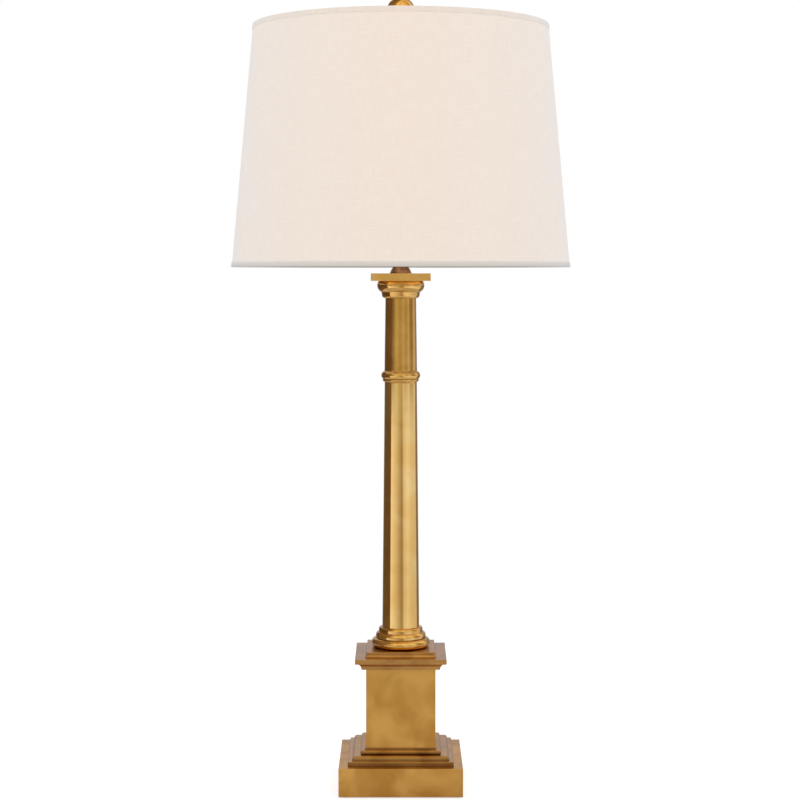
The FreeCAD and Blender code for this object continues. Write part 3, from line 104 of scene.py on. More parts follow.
def finish_of(name, **sockets):
    """New material: its shader takes the constants given, by socket name with _ for a space."""
    made = bpy.data.materials.new(name)
    made.use_nodes = True
    shader = made.node_tree.nodes["Principled BSDF"]
    for socket, value in sockets.items():
        shader.inputs[socket.replace("_", " ")].default_value = value
    return made, made.node_tree, shader


def run_between(start, end, bulge):
    """Length of an outline's line or arc, and the place and way along it at a distance."""
    chord = end - start
    if not bulge:
        way = chord.normalized()
        return chord.length, lambda s: (start + way * s, way)
    radius = abs(bulge)
    side = Vector((-chord.y, chord.x)).normalized()
    rise = math.sqrt(max(radius * radius - chord.length_squared / 4, 0))
    centre = (start + end) / 2 + side * math.copysign(rise, bulge)
    turn = math.copysign(2 * math.asin(min(1, chord.length / 2 / radius)), bulge)
    length = radius * abs(turn)
    arm = start - centre

    def along(s):
        now = Matrix.Rotation(turn * s / length, 2) @ arm
        way = Vector((-now.y, now.x)) * math.copysign(1, turn)
        return centre + now, way.normalized()

    return length, along


def section(corners, ease):
    """Spots of a closed outline in mm, arcs sampled and sharp corners eased: (spot, facing)."""
    spots = [Vector(corner[:2]) for corner in corners]
    runs = []
    for index, corner in enumerate(corners):
        start, end = spots[index], spots[(index + 1) % len(spots)]
        if max(start.x, end.x) > 0:
            bulge = corner[2] if len(corner) > 2 else 0
            runs.append((*run_between(start, end, bulge), bulge, start, end))
    line = []
    for index, (length, along, bulge, start, end) in enumerate(runs):
        before, after = runs[index - 1], runs[(index + 1) % len(runs)]
        cuts = []
        for own, other in ((along(0), before[1](before[0])), (along(length), after[1](0))):
            sharp = own[1].angle(other[1]) > SHARP_TURN
            joined = (own[0] - other[0]).length < SAME_SPOT
            cuts.append(min(ease, length * EASED_SHARE) if sharp and joined else 0)
        steps = 1
        if bulge:
            steps = max(2, math.ceil(length / abs(bulge) / ARC_STEP))
        first, last = cuts[0], length - cuts[1]
        for step in range(steps + 1):
            place, way = along(first + (last - first) * step / steps)
            if not (line and step == 0 and (line[-1][0] - place).length < SAME_SPOT):
                line.append((place, Vector((way.y, -way.x))))
        if cuts[1]:
            from_spot, to_spot = line[-1][0], after[1](min(ease, after[0] * EASED_SHARE))[0]
            for part in (0.25, 0.5, 0.75):
                place = (from_spot * (1 - part) ** 2 + end * 2 * part * (1 - part)
                         + to_spot * part ** 2)
                way = ((end - from_spot) * (1 - part) + (to_spot - end) * part).normalized()
                line.append((place, Vector((way.y, -way.x))))
    if (line[0][0] - line[-1][0]).length < SAME_SPOT:
        line.pop()
    return line


def swept(name, corners, level, ring, ease=EDGE):
    """Closed outline carried round the lamp's axis along a ring, as one smooth-shaded mesh."""
    line = section(corners, ease)
    verts, normals, loops = [], [], []
    for place, facing in line:
        turned = ring(place.x) if place.x > SAME_SPOT else [(0, 0, 0)]
        loops.append(range(len(verts), len(verts) + len(turned)))
        for x, y, angle in turned:
            verts.append((x * MM, y * MM, level + place.y * MM))
            flat = facing.x if len(turned) > 1 else 0
            normals.append(Vector((math.cos(angle) * flat, math.sin(angle) * flat,
                                   facing.y)).normalized())
    faces = []
    for index, low in enumerate(loops):
        high = loops[(index + 1) % len(loops)]
        if len(low) == 1 and len(high) == 1:
            continue
        count = max(len(low), len(high))
        for step in range(count):
            after = (step + 1) % count
            corners_of_face = [low[step % len(low)], low[after % len(low)],
                               high[after % len(high)], high[step % len(high)]]
            faces.append(list(dict.fromkeys(corners_of_face)))
    mesh = bpy.data.meshes.new(name)
    mesh.from_pydata(verts, [], faces)
    mesh.shade_smooth()
    mesh.normals_split_custom_set_from_vertices(normals)
    made = bpy.data.objects.new(name, mesh)
    scene.collection.objects.link(made)
    return made


def square_ring(half):
    """Spots round a square with rounded corners, or the bore, each with the way it faces."""
    rounding = CORNER if half > ROUND_BELOW_MM else half * BORE_ROUNDING
    spots = []
    for quarter in range(4):
        for step in range(CORNER_STEPS + 1):
            angle = math.radians(90) * (quarter + step / CORNER_STEPS)
            lean = math.radians(90) * (quarter + 0.5)
            middle = (half - rounding) * math.sqrt(2)
            spots.append((middle * math.cos(lean) + rounding * math.cos(angle),
                          middle * math.sin(lean) + rounding * math.sin(angle), angle))
    return spots


def fitted(piece, node, material, body="lamp"):
    """The piece stands for a CAD node, rides on its body and takes its finish."""
    piece.data.materials.append(material)
    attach(piece, body)
    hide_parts(node)
    return piece


def finished(material, *nodes):
    """CAD nodes whose shape is right, each with the finish of the real piece."""
    for node in nodes:
        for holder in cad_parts[node].material_slots:
            holder.material = material


def antique_brass(name, pale, dark, patch_mm, roughness, grain, lacquer, upright_painted_shade=None):
    """Rubbed brass: cloudy patches, browner recesses and a fine polish.

    The grain is in lines per metre along each axis. Upright is the share of red, green and blue
    that is left on the faces that aren't level: painted shade, for the dark room that they mirror.
    """
    material, tree, shader = finish_of(name, Metallic=1.0, Coat_Weight=lacquer,
                                       Coat_Roughness=0.22)
    place = knot(tree, "ShaderNodeTexCoord").outputs["Object"]
    patches = knot(tree, "ShaderNodeTexNoise", {
        "Vector": place, "Scale": 1 / (patch_mm * MM), "Detail": 2.5, "Roughness": 0.45,
        "Distortion": 0.6})
    tint = knot(tree, "ShaderNodeValToRGB", {"Fac": patches.outputs["Fac"]})
    tint.color_ramp.elements[0].position = 0.36
    tint.color_ramp.elements[0].color = linear(dark)
    tint.color_ramp.elements[1].position = 0.64
    tint.color_ramp.elements[1].color = linear(pale)
    recess = knot(tree, "ShaderNodeAmbientOcclusion", {"Distance": 0.0022}, samples=6)
    shade = knot(tree, "ShaderNodeMapRange", {
        "Value": recess.outputs["AO"], "From Min": 0.3, "From Max": 0.8,
        "To Min": 0.62, "To Max": 1.0})
    colour = knot(tree, "ShaderNodeMix", {
        0: shade.outputs["Result"], 6: linear("#94703F"), 7: tint.outputs["Color"]},
        data_type="RGBA")
    skin = colour.outputs[2]
    # painted shade: the faces that aren't level get a darker copy of the colour
    if upright_painted_shade:
        normal = knot(tree, "ShaderNodeNewGeometry").outputs["Normal"]
        facing = knot(tree, "ShaderNodeSeparateXYZ", {"Vector": normal})
        level = knot(tree, "ShaderNodeMapRange", {
            "Value": facing.outputs["Z"], "From Min": 0.5, "From Max": 0.95})
        upright_shaded_colour = knot(tree, "ShaderNodeVectorMath", {0: skin, 1: upright_painted_shade}, operation="MULTIPLY")
        skin = knot(tree, "ShaderNodeMix", {
            0: level.outputs["Result"], 6: upright_shaded_colour.outputs["Vector"], 7: skin},
            data_type="RGBA").outputs[2]
    tree.links.new(skin, shader.inputs["Base Color"])
    stretch = knot(tree, "ShaderNodeVectorMath", {0: place, 1: grain}, operation="MULTIPLY")
    lines = knot(tree, "ShaderNodeTexNoise", {
        "Vector": stretch.outputs["Vector"], "Scale": 1.0, "Detail": 2.0})
    gloss = knot(tree, "ShaderNodeMapRange", {
        "Value": patches.outputs["Fac"], "From Min": 0.3, "From Max": 0.7,
        "To Min": roughness[0], "To Max": roughness[1]})
    tree.links.new(gloss.outputs["Result"], shader.inputs["Roughness"])
    bump = knot(tree, "ShaderNodeBump", {
        "Height": lines.outputs["Fac"], "Strength": 0.06, "Distance": 0.00004})
    tree.links.new(bump.outputs["Normal"], shader.inputs["Normal"])
    return material


# cast brass, plated dark, rubbed back by hand and lacquered: soft cloudy patches about 34 mm
# across, and a satin grain with a line every 0.4 mm, coarser than real emery so that it shows
plate_brass = antique_brass("antique_brass_rubbed_plate", "#E7B45E", "#CB9340", 34,
                            (0.26, 0.36), (120, 120, 2500), 0.25)

CORD_HOLE_MM = 3.4
WALL_MM = 63.5
DRILL_REACH_MM = 4
DRILL_SIDES = 40
plinth = swept("plinth_box", [
    (60.5, 0), (WALL_MM, 0), (WALL_MM, 29), (BORE_MM, 29), (BORE_MM, 26), (60.5, 26),
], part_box("plinth")[0].z, square_ring)
drill_mesh = bpy.data.meshes.new("drill")
cord_level = (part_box("cord_bushing")[0].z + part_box("cord_bushing")[1].z) / 2
drill_mesh.from_pydata(
    [(CORD_HOLE_MM * MM * math.cos(math.tau * i / DRILL_SIDES),
      (WALL_MM + DRILL_REACH_MM * end) * MM,
      cord_level + CORD_HOLE_MM * MM * math.sin(math.tau * i / DRILL_SIDES))
     for end in (-1, 1) for i in range(DRILL_SIDES)], [],
    [[i, (i + 1) % DRILL_SIDES, DRILL_SIDES + (i + 1) % DRILL_SIDES, DRILL_SIDES + i]
     for i in range(DRILL_SIDES)]
    + [list(range(DRILL_SIDES))[::-1], list(range(DRILL_SIDES, DRILL_SIDES * 2))])
drill = bpy.data.objects.new("drill", drill_mesh)
scene.collection.objects.link(drill)
cut = plinth.modifiers.new("cord_hole", "BOOLEAN")
cut.object = drill
cut.solver = "EXACT"
plinth.modifiers.new("flat_faces", "WEIGHTED_NORMAL").keep_sharp = True
bpy.context.view_layer.update()
drilled = bpy.data.meshes.new_from_object(
    plinth.evaluated_get(bpy.context.evaluated_depsgraph_get()))
plinth.modifiers.clear()
plinth.data = drilled
bpy.data.objects.remove(drill)
fitted(plinth, "plinth", plate_brass)


# Weight, washer, nut and pipe ------------------------------------------------------------------
# A cast-iron slab dipped in black paint fills the plinth. A zinc-plated nut and washer under it
# pull on the steel pipe that clamps the whole column.

# sand-cast iron, dipped in black paint: matt and gritty, with brown rust coming through in spots
black_iron, tree, shader = finish_of("black_painted_cast_iron", Roughness=0.62)
place = knot(tree, "ShaderNodeTexCoord").outputs["Object"]
sand = knot(tree, "ShaderNodeTexNoise", {"Vector": place, "Scale": 1 / (0.9 * MM), "Detail": 4})
rust = knot(tree, "ShaderNodeTexNoise", {"Vector": place, "Scale": 1 / (14 * MM), "Detail": 6})
tint = knot(tree, "ShaderNodeValToRGB", {"Fac": rust.outputs["Fac"]})
tint.color_ramp.elements[0].position = 0.56
tint.color_ramp.elements[0].color = linear("#232322")
tint.color_ramp.elements[1].position = 0.74
tint.color_ramp.elements[1].color = linear("#4A342A")
tree.links.new(tint.outputs["Color"], shader.inputs["Base Color"])
bump = knot(tree, "ShaderNodeBump", {
    "Height": sand.outputs["Fac"], "Strength": 0.5, "Distance": 0.0003})
tree.links.new(bump.outputs["Normal"], shader.inputs["Normal"])
finished(black_iron, "base_weight")


def zinc_plate(name, thread_mm=0.0):
    """Bright zinc: a cool grey with cloudy yellowish passivation, and a thread if it has one."""
    material, tree, shader = finish_of(name, Metallic=1.0)
    place = knot(tree, "ShaderNodeTexCoord").outputs["Object"]
    cloud = knot(tree, "ShaderNodeTexNoise", {
        "Vector": place, "Scale": 1 / (6 * MM), "Detail": 3, "Distortion": 0.8})
    tint = knot(tree, "ShaderNodeValToRGB", {"Fac": cloud.outputs["Fac"]})
    tint.color_ramp.elements[0].position = 0.35
    tint.color_ramp.elements[0].color = linear("#AEB2B4")
    tint.color_ramp.elements[1].position = 0.68
    tint.color_ramp.elements[1].color = linear("#C9C6B6")
    tree.links.new(tint.outputs["Color"], shader.inputs["Base Color"])
    gloss = knot(tree, "ShaderNodeMapRange", {
        "Value": cloud.outputs["Fac"], "To Min": 0.24, "To Max": 0.42})
    tree.links.new(gloss.outputs["Result"], shader.inputs["Roughness"])
    if thread_mm:
        # a wave pattern repeats at a tenth of pi over its scale
        turns = knot(tree, "ShaderNodeTexWave", {
            "Vector": place, "Scale": math.pi / 10 / (thread_mm * MM)}, bands_direction="Z")
        depth, height = thread_mm * MM * 0.4, turns.outputs["Fac"]
    else:
        drawn = knot(tree, "ShaderNodeTexNoise", {"Vector": place, "Scale": 1 / (0.5 * MM)})
        depth, height = 0.00003, drawn.outputs["Fac"]
    bump = knot(tree, "ShaderNodeBump", {"Height": height, "Strength": 0.7, "Distance": depth})
    tree.links.new(bump.outputs["Normal"], shader.inputs["Normal"])
    return material


# pressed, bent and turned steel under bright zinc: semi-gloss grey that dulls in soft clouds
zinc_steel = zinc_plate("zinc_plated_steel")
finished(zinc_steel, "base_washer", "base_nut")
# the pipe's rolled thread, 27 turns to the inch, gives its whole length a fine ribbed glint
finished(zinc_plate("zinc_plated_thread", 0.94), "threaded_pipe")


# Lead and cord bushing -------------------------------------------------------------------------
# A twisted pair of gold-coloured PVC wires runs down the pipe. A brown nylon bushing lines the
# hole in the back wall, where the cord would enter.

TWIST_MM = 9
# PVC, extruded on the wires and twisted: each gold-brown turn gets a painted highlight, with
# painted shade in the groove between turns
twisted_wire, tree, shader = finish_of("twisted_pvc_wire", Roughness=0.38)
place = knot(tree, "ShaderNodeTexCoord").outputs["Object"]
twist_painted_light = knot(tree, "ShaderNodeTexWave", {
    "Vector": place, "Scale": math.pi / 10 / (TWIST_MM * MM), "Distortion": 0.3},
    bands_direction="DIAGONAL")
# painted light: the ramp lightens the crown of each turn and darkens the groove between turns
tint = knot(tree, "ShaderNodeValToRGB", {"Fac": twist_painted_light.outputs["Fac"]})
tint.color_ramp.elements[0].position = 0.1
tint.color_ramp.elements[0].color = linear("#5C4A25")
tint.color_ramp.elements[1].position = 0.45
tint.color_ramp.elements[1].color = linear("#B89B57")
tree.links.new(tint.outputs["Color"], shader.inputs["Base Color"])
bump = knot(tree, "ShaderNodeBump", {
    "Height": twist_painted_light.outputs["Fac"], "Strength": 0.8, "Distance": 0.0006})
tree.links.new(bump.outputs["Normal"], shader.inputs["Normal"])
finished(twisted_wire, "inner_lead")


def toned(code, gain):
    """The linear colour of a hex code, made darker or lighter."""
    return [min(1, part * gain) for part in linear(code)[:3]] + [1]


def moulded(name, colour, roughness, texture_mm):
    """Moulded plastic: even colour with a faint flow cloud and the mould's fine spark texture."""
    material, tree, shader = finish_of(name)
    place = knot(tree, "ShaderNodeTexCoord").outputs["Object"]
    flow = knot(tree, "ShaderNodeTexNoise", {"Vector": place, "Scale": 1 / (9 * MM),
                                             "Distortion": 1.2})
    tint = knot(tree, "ShaderNodeValToRGB", {"Fac": flow.outputs["Fac"]})
    tint.color_ramp.elements[0].color = toned(colour, 0.82)
    tint.color_ramp.elements[1].color = toned(colour, 1.12)
    tree.links.new(tint.outputs["Color"], shader.inputs["Base Color"])
    gloss = knot(tree, "ShaderNodeMapRange", {
        "Value": flow.outputs["Fac"], "To Min": roughness * 0.8, "To Max": roughness * 1.2})
    tree.links.new(gloss.outputs["Result"], shader.inputs["Roughness"])
    spark = knot(tree, "ShaderNodeTexNoise", {"Vector": place, "Scale": 1 / (texture_mm * MM)})
    bump = knot(tree, "ShaderNodeBump", {
        "Height": spark.outputs["Fac"], "Strength": 0.25, "Distance": 0.00008})
    tree.links.new(bump.outputs["Normal"], shader.inputs["Normal"])
    return material


# injection-moulded nylon: an even dull brown with the mould's fine spark texture
finished(moulded("brown_nylon", "#4A3323", 0.42, 0.4), "cord_bushing")


# Bottom cover and felt -------------------------------------------------------------------------
# A zinc-plated steel sheet closes the plinth, held by four countersunk screws. Dark green wool
# felt, 2.4 mm thick, is glued under it, so the lamp slides on a table without a scratch.

finished(zinc_steel, "bottom_cover", "cover_screws")

FELT_HALF = 60.2
FELT_MM = 2.4
# dyed and pressed wool: dark green and fully matt, with short fibres that scatter the light
wool_felt, tree, shader = finish_of("pressed_wool_felt", Roughness=0.95, Sheen_Weight=0.25,
                                    Sheen_Roughness=0.5)
place = knot(tree, "ShaderNodeTexCoord").outputs["Object"]
mat = knot(tree, "ShaderNodeTexNoise", {
    "Vector": place, "Scale": 1 / (1.4 * MM), "Detail": 6, "Roughness": 0.7, "Distortion": 2.5})
tint = knot(tree, "ShaderNodeValToRGB", {"Fac": mat.outputs["Fac"]})
tint.color_ramp.elements[0].position = 0.3
tint.color_ramp.elements[0].color = linear("#1E3325")
tint.color_ramp.elements[1].position = 0.72
tint.color_ramp.elements[1].color = linear("#3E5A45")
tree.links.new(tint.outputs["Color"], shader.inputs["Base Color"])
bump = knot(tree, "ShaderNodeBump", {
    "Height": mat.outputs["Fac"], "Strength": 0.6, "Distance": 0.0004})
tree.links.new(bump.outputs["Normal"], shader.inputs["Normal"])
felt = fitted(swept("felt_sheet", [
    (0, 0), (FELT_HALF, 0), (FELT_HALF, FELT_MM), (0, FELT_MM),
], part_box("felt_pad")[0].z, square_ring, 0.5), "felt_pad", wool_felt)


# Stepped moulding, pedestal and its cap --------------------------------------------------------
# Cast brass mouldings, mitred like a picture frame, with a square tube between them. The castings
# are filed and rubbed along their length, so the brown patina stays in the coves.

CAP_SPIGOT_MM = 3
# cast brass, filed and rubbed by hand: duller and browner than the plate, with short file lines
moulding_brass = antique_brass("antique_brass_cast_moulding", "#CB9A56", "#B08042", 26,
                               (0.28, 0.36), (90, 90, 2500), 0.5)
# the same casting with bright level treads, and its risers given painted shade: a dark brown,
# for the dark floor and plinth top that they mirror
step_brass = antique_brass("antique_brass_casting_painted_riser_shade", "#DDAC62", "#C2904A", 26,
                           (0.3, 0.38), (90, 90, 2500), 0.45, (0.4, 0.39, 0.38))
fitted(swept("base_steps_casting", [
    (44, 0), (54.2, 0), (54.2, 3.5, 1.2), (53, 4.7), (49.8, 4.7), (49.8, 5.7, 4.4), (47.4, 9),
    (39.4, 9, 2.1), (41.5, 11.1, 2.1), (39.4, 13.2), (36.8, 13.2), (36.8, 15), (33.75, 15),
    (33.75, 18), (BORE_MM, 18), (BORE_MM, 15), (29, 15), (29, 4.7), (44, 4.7),
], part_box("base_steps")[0].z, square_ring, 0.3), "base_steps", step_brass)
fitted(swept("pedestal_tube", [
    (33.85, 0), (35.85, 0), (35.85, 81.9), (33.85, 81.9),
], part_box("pedestal_die")[0].z, square_ring, 0.2), "pedestal_die", plate_brass)
fitted(swept("pedestal_cap_casting", [
    (33.75, -CAP_SPIGOT_MM), (33.75, 0), (40.6, 0), (40.6, 1, -6.2), (46.7, 6.6), (47.1, 6.6),
    (47.1, 11.6), (BORE_MM, 11.6), (BORE_MM, 8.6), (29, 8.6), (29, -CAP_SPIGOT_MM),
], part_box("pedestal_cap")[0].z + CAP_SPIGOT_MM * MM, square_ring, 0.3),
    "pedestal_cap", moulding_brass)
fitted(swept("cap_step_casting", [
    (BORE_MM, 0), (36.6, 0), (36.6, 0.8, -1.9), (35.4, 2.7), (35.4, 5.4), (BORE_MM, 5.4),
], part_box("cap_step")[0].z, square_ring, 0.3), "cap_step", moulding_brass)


# Column ----------------------------------------------------------------------------------------
# Foot, ring and capital are turned from the bar and buffed while they spin. The two shafts are
# drawn tube, polished along their length and lacquered, and mirror the room in upright bands.

ROUND_STEPS = 128
TURNED_SPIGOT_MM = 4


def round_ring(radius):
    """Spots round a circle, each with the direction that it faces."""
    turn = 2 * math.pi / ROUND_STEPS
    return [(radius * math.cos(turn * i), radius * math.sin(turn * i), turn * i)
            for i in range(ROUND_STEPS)]


# turned from the bar and buffed: near-mirror rings with tool lines 0.7 mm apart, coarser than
# real ones so that they show
turned_brass = antique_brass("antique_brass_turned", "#E8BC70", "#D2A258", 16,
                             (0.07, 0.11), (60, 60, 1500), 0.12)
# drawn tube polished along its length: upright bands with long stripes 0.7 mm apart, coarser
# than real ones so that they show
shaft_brass = antique_brass("antique_brass_drawn_tube", "#F6CE7F", "#EEBE6A", 26,
                            (0.08, 0.12), (1400, 1400, 12), 0.2)
# the same tube in a deeper gold: painted shade, for the light that the shade over it keeps off
upper_brass_painted_shade = antique_brass("antique_brass_upper_tube_painted_shade", "#E4B664", "#D2A250", 26,
                            (0.08, 0.12), (1400, 1400, 12), 0.2)
fitted(swept("column_foot_turning", [
    (BORE_MM, 0), (25.8, 0, 4.8), (30.6, 4.8, 4.8), (25.8, 9.6), (24.6, 9.6), (24.6, 10.3),
    (26, 10.3), (26, 11.7, 4.2), (23.9, 15.8), (22.9, 15.8), (22.9, 18.7, 2.3), (20.6, 21),
    (18, 21), (18, 25), (16, 25), (16, 3), (BORE_MM, 3),
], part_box("column_foot")[0].z, round_ring, 0.2), "column_foot", turned_brass)
fitted(swept("lower_shaft_tube", [
    (18.1, 0), (19.3, 0), (16.85, 255.7), (15.65, 255.7),
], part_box("lower_shaft")[0].z, round_ring, 0.15), "lower_shaft", shaft_brass)
fitted(swept("column_ring_turning", [
    (BORE_MM, 0), (13.55, 0), (13.55, -TURNED_SPIGOT_MM), (15.55, -TURNED_SPIGOT_MM), (15.55, 0),
    (16.85, 0), (17.2, 1.1, 1.7), (18.9, 2.8, 1.7), (18.164, 4.2), (18.928, 4.2, 4.9),
    (20.3, 7.6, 4.9), (17, 12.231), (17, 12.8), (15.7, 12.8), (15.7, 16.8), (13.55, 16.8),
    (13.55, 3), (BORE_MM, 3),
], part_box("column_ring")[0].z + TURNED_SPIGOT_MM * MM, round_ring, 0.12),
    "column_ring", turned_brass)
fitted(swept("upper_shaft_tube", [
    (15.8, 0), (17, 0), (16, 75.3), (14.8, 75.3),
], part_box("upper_shaft")[0].z, round_ring, 0.15), "upper_shaft", upper_brass_painted_shade)
fitted(swept("capital_turning", [
    (12.7, -TURNED_SPIGOT_MM), (14.7, -TURNED_SPIGOT_MM), (14.7, 0), (16.6, 0, 3.08),
    (19.6, 2.8), (20.2, 6.4), (20.437, 6.4, 7.8), (24.6, 13.3, 7.8), (23.025, 18),
    (BORE_MM, 18), (BORE_MM, 15), (12.7, 15),
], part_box("capital")[0].z + TURNED_SPIGOT_MM * MM, round_ring, 0.15),
    "capital", turned_brass)


# Abacus and neck -------------------------------------------------------------------------------
# A square brass plate sits on the capital. The small cone above it is turned brass, given a dark
# bronze brown as painted shade for the shadow it stands in under the shade.

# cast plate in an even pale gold with hardly a cloud: painted light, paler than the other plate,
# since what it mirrors under the shade is dim
abacus_brass_painted_light = antique_brass("antique_brass_plate_painted_light", "#FFD07C", "#F8C268", 20,
                             (0.2, 0.28), (120, 120, 2500), 0.3)
fitted(swept("abacus_plate", [
    (BORE_MM, 0), (30.8, 0), (30.8, 7.8), (BORE_MM, 7.8),
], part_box("abacus")[0].z, square_ring, 0.55), "abacus", abacus_brass_painted_light)
# turned brass in a half-glossy bronze brown: painted shade, for the shadow under the shade
neck_painted_shade_brass = antique_brass("turned_brass_painted_shade", "#C48C5E", "#8C5E3E", 8,
                            (0.16, 0.24), (60, 60, 1500), 0.5)
fitted(swept("neck_turning", [
    (BORE_MM, 0), (11.2, 0), (11.2, 1.2), (8.4, 6.6), (8.2, 6.6, 0.7), (8.9, 7.3, 0.7),
    (8.2, 8), (6.8, 12), (BORE_MM, 12),
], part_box("neck_cone")[0].z, round_ring, 0.15), "neck_cone", neck_painted_shade_brass)


# Saddle, harp and stud -------------------------------------------------------------------------
# The lock nut holds a steel saddle on the pipe. A bent wire harp stands on its tongues under two
# sliding sleeves and carries the swivel stud; all of them are zinc plated.

finished(zinc_steel, "harp_saddle", "lock_nut", "harp", "left_sleeve", "right_sleeve")
# the stud's finer thread glints in closer ribs than the pipe's
finished(zinc_plate("zinc_plated_fine_thread", 0.8), "harp_stud")


# Socket ----------------------------------------------------------------------------------------
# A thin brass cap and shell, spun over a form and dipped bright, hold a fibre sleeve and a black
# phenolic switch body. The threaded shell and the contact inside it are plain brass strip.

def bright_brass(name, colour, roughness, line_mm, thread_mm=0.0):
    """Brass dipped bright: clean yellow, with turning lines round it or a thread instead."""
    material, tree, shader = finish_of(name, Metallic=1.0, Coat_Weight=0.3, Coat_Roughness=0.15)
    place = knot(tree, "ShaderNodeTexCoord").outputs["Object"]
    cloud = knot(tree, "ShaderNodeTexNoise", {"Vector": place, "Scale": 1 / (8 * MM)})
    tint = knot(tree, "ShaderNodeValToRGB", {"Fac": cloud.outputs["Fac"]})
    tint.color_ramp.elements[0].color = toned(colour, 0.84)
    tint.color_ramp.elements[1].color = toned(colour, 1.08)
    tree.links.new(tint.outputs["Color"], shader.inputs["Base Color"])
    gloss = knot(tree, "ShaderNodeMapRange", {
        "Value": cloud.outputs["Fac"], "To Min": roughness * 0.7, "To Max": roughness * 1.3})
    tree.links.new(gloss.outputs["Result"], shader.inputs["Roughness"])
    if thread_mm:
        turns = knot(tree, "ShaderNodeTexWave", {
            "Vector": place, "Scale": math.pi / 10 / (thread_mm * MM)}, bands_direction="Z")
        depth, height = thread_mm * MM * 0.3, turns.outputs["Fac"]
    else:
        lines = knot(tree, "ShaderNodeVectorMath", {
            0: place, 1: (40, 40, 1 / (line_mm * MM))}, operation="MULTIPLY")
        spun = knot(tree, "ShaderNodeTexNoise", {"Vector": lines.outputs["Vector"], "Scale": 1.0})
        depth, height = 0.00004, spun.outputs["Fac"]
    bump = knot(tree, "ShaderNodeBump", {"Height": height, "Strength": 0.6, "Distance": depth})
    tree.links.new(bump.outputs["Normal"], shader.inputs["Normal"])
    return material


# thin sheet spun over a form and dipped bright: clean yellow with fine lines round it
spun_brass = bright_brass("bright_dipped_spun_brass", "#E9CC86", 0.22, 0.7)
finished(spun_brass, "socket_cap", "socket_shell")
# strip rolled into the lamp thread, seven turns to the inch: round glossy ridges
finished(bright_brass("rolled_thread_brass", "#DFC07E", 0.28, 0.7, 3.6), "screw_shell")
# plain strip and bar, as rolled and cut: a flatter, duller yellow
contact_brass = bright_brass("plain_contact_brass", "#DCBF82", 0.32, 0.3)
finished(contact_brass, "centre_contact", "terminal_screws")
finished(zinc_steel, "set_screw")
# phenolic resin pressed in a polished mould: a brown-black gloss
finished(moulded("black_phenolic", "#1B1715", 0.26, 0.6), "socket_body")

# paper fibre, vulcanised and rolled: dry buff brown with flecks of pulp
fibre, tree, shader = finish_of("vulcanised_fibre_paper", Roughness=0.75)
place = knot(tree, "ShaderNodeTexCoord").outputs["Object"]
pulp = knot(tree, "ShaderNodeTexNoise", {
    "Vector": place, "Scale": 1 / (1.1 * MM), "Detail": 5, "Distortion": 1.8})
tint = knot(tree, "ShaderNodeValToRGB", {"Fac": pulp.outputs["Fac"]})
tint.color_ramp.elements[0].color = linear("#A08B66")
tint.color_ramp.elements[1].color = linear("#D8C6A0")
tree.links.new(tint.outputs["Color"], shader.inputs["Base Color"])
bump = knot(tree, "ShaderNodeBump", {
    "Height": pulp.outputs["Fac"], "Strength": 0.3, "Distance": 0.0001})
tree.links.new(bump.outputs["Normal"], shader.inputs["Normal"])
finished(fibre, "insulating_sleeve")


# Switch ----------------------------------------------------------------------------------------
# A rotary switch in the socket's body, turned by a black phenolic knob. The knob is moulded with
# sixteen flutes for the fingers and pinned to the brass stem.

finished(contact_brass, "switch_stem")
# the same resin, worn smooth by fingers: glossier than the socket's body
finished(moulded("black_phenolic_knob", "#1D1816", 0.2, 0.8), "switch_knob")


# Bulb ------------------------------------------------------------------------------------------
# A pear-shaped glass bulb, frosted white inside, cemented into a rolled brass cap with a black
# glass insulator and a solder tip. Its clear stem carries the tungsten filament.

finished(contact_brass, "bulb_tip")
# black glass, pressed hot round the contact: a deep wet gloss
finished(moulded("black_glass_insulator", "#15161A", 0.12, 1.0), "bulb_insulator")
# thin brass rolled into the lamp thread: round ridges, a little paler than the socket's
finished(bright_brass("rolled_thread_bulb_cap", "#D9C28C", 0.3, 0.7, 3.6), "bulb_cap")

# blown glass, etched inside: milky white, with a 0.5 mm grain, coarser than a real etch so that
# it shows
frosted_glass, tree, shader = finish_of(
    "inside_frosted_glass", Roughness=0.32, Transmission_Weight=0.3, IOR=1.5)
place = knot(tree, "ShaderNodeTexCoord").outputs["Object"]
etch = knot(tree, "ShaderNodeTexNoise", {"Vector": place, "Scale": 1 / (0.5 * MM), "Detail": 3})
milk = knot(tree, "ShaderNodeTexNoise", {"Vector": place, "Scale": 1 / (18 * MM)})
tint = knot(tree, "ShaderNodeValToRGB", {"Fac": milk.outputs["Fac"]})
tint.color_ramp.elements[0].color = linear("#EDEFEC")
tint.color_ramp.elements[1].color = linear("#F8F9F7")
tree.links.new(tint.outputs["Color"], shader.inputs["Base Color"])
bump = knot(tree, "ShaderNodeBump", {
    "Height": etch.outputs["Fac"], "Strength": 0.15, "Distance": 0.00005})
tree.links.new(bump.outputs["Normal"], shader.inputs["Normal"])
GLOBE_MM = 30
GLASS_MM = 1.0
FLANK = math.radians(30)
NECK_SWEEP_MM = 24.6
BULB_MM = 108
GLASS_FOOT_MM = 22.5
globe_middle = BULB_MM - GLOBE_MM - GLASS_FOOT_MM
inner_globe = GLOBE_MM - GLASS_MM
fitted(swept("bulb_glass_blown", [
    (11.25, 0), (12.25, 0), (12.25, 4.5), (14.2, 5.5), (14.2, 10, -NECK_SWEEP_MM),
    (GLOBE_MM * math.cos(FLANK), globe_middle - GLOBE_MM * math.sin(FLANK), GLOBE_MM),
    (GLOBE_MM, globe_middle, GLOBE_MM), (0, globe_middle + GLOBE_MM),
    (0, globe_middle + inner_globe, -inner_globe), (inner_globe, globe_middle, -inner_globe),
    (inner_globe * math.cos(FLANK), globe_middle - inner_globe * math.sin(FLANK),
     NECK_SWEEP_MM + GLASS_MM),
    (13.2, 10), (13.2, 6.5), (11.25, 5.5),
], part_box("bulb_glass")[0].z, round_ring, 0.2), "bulb_glass", frosted_glass,
    "bulb")

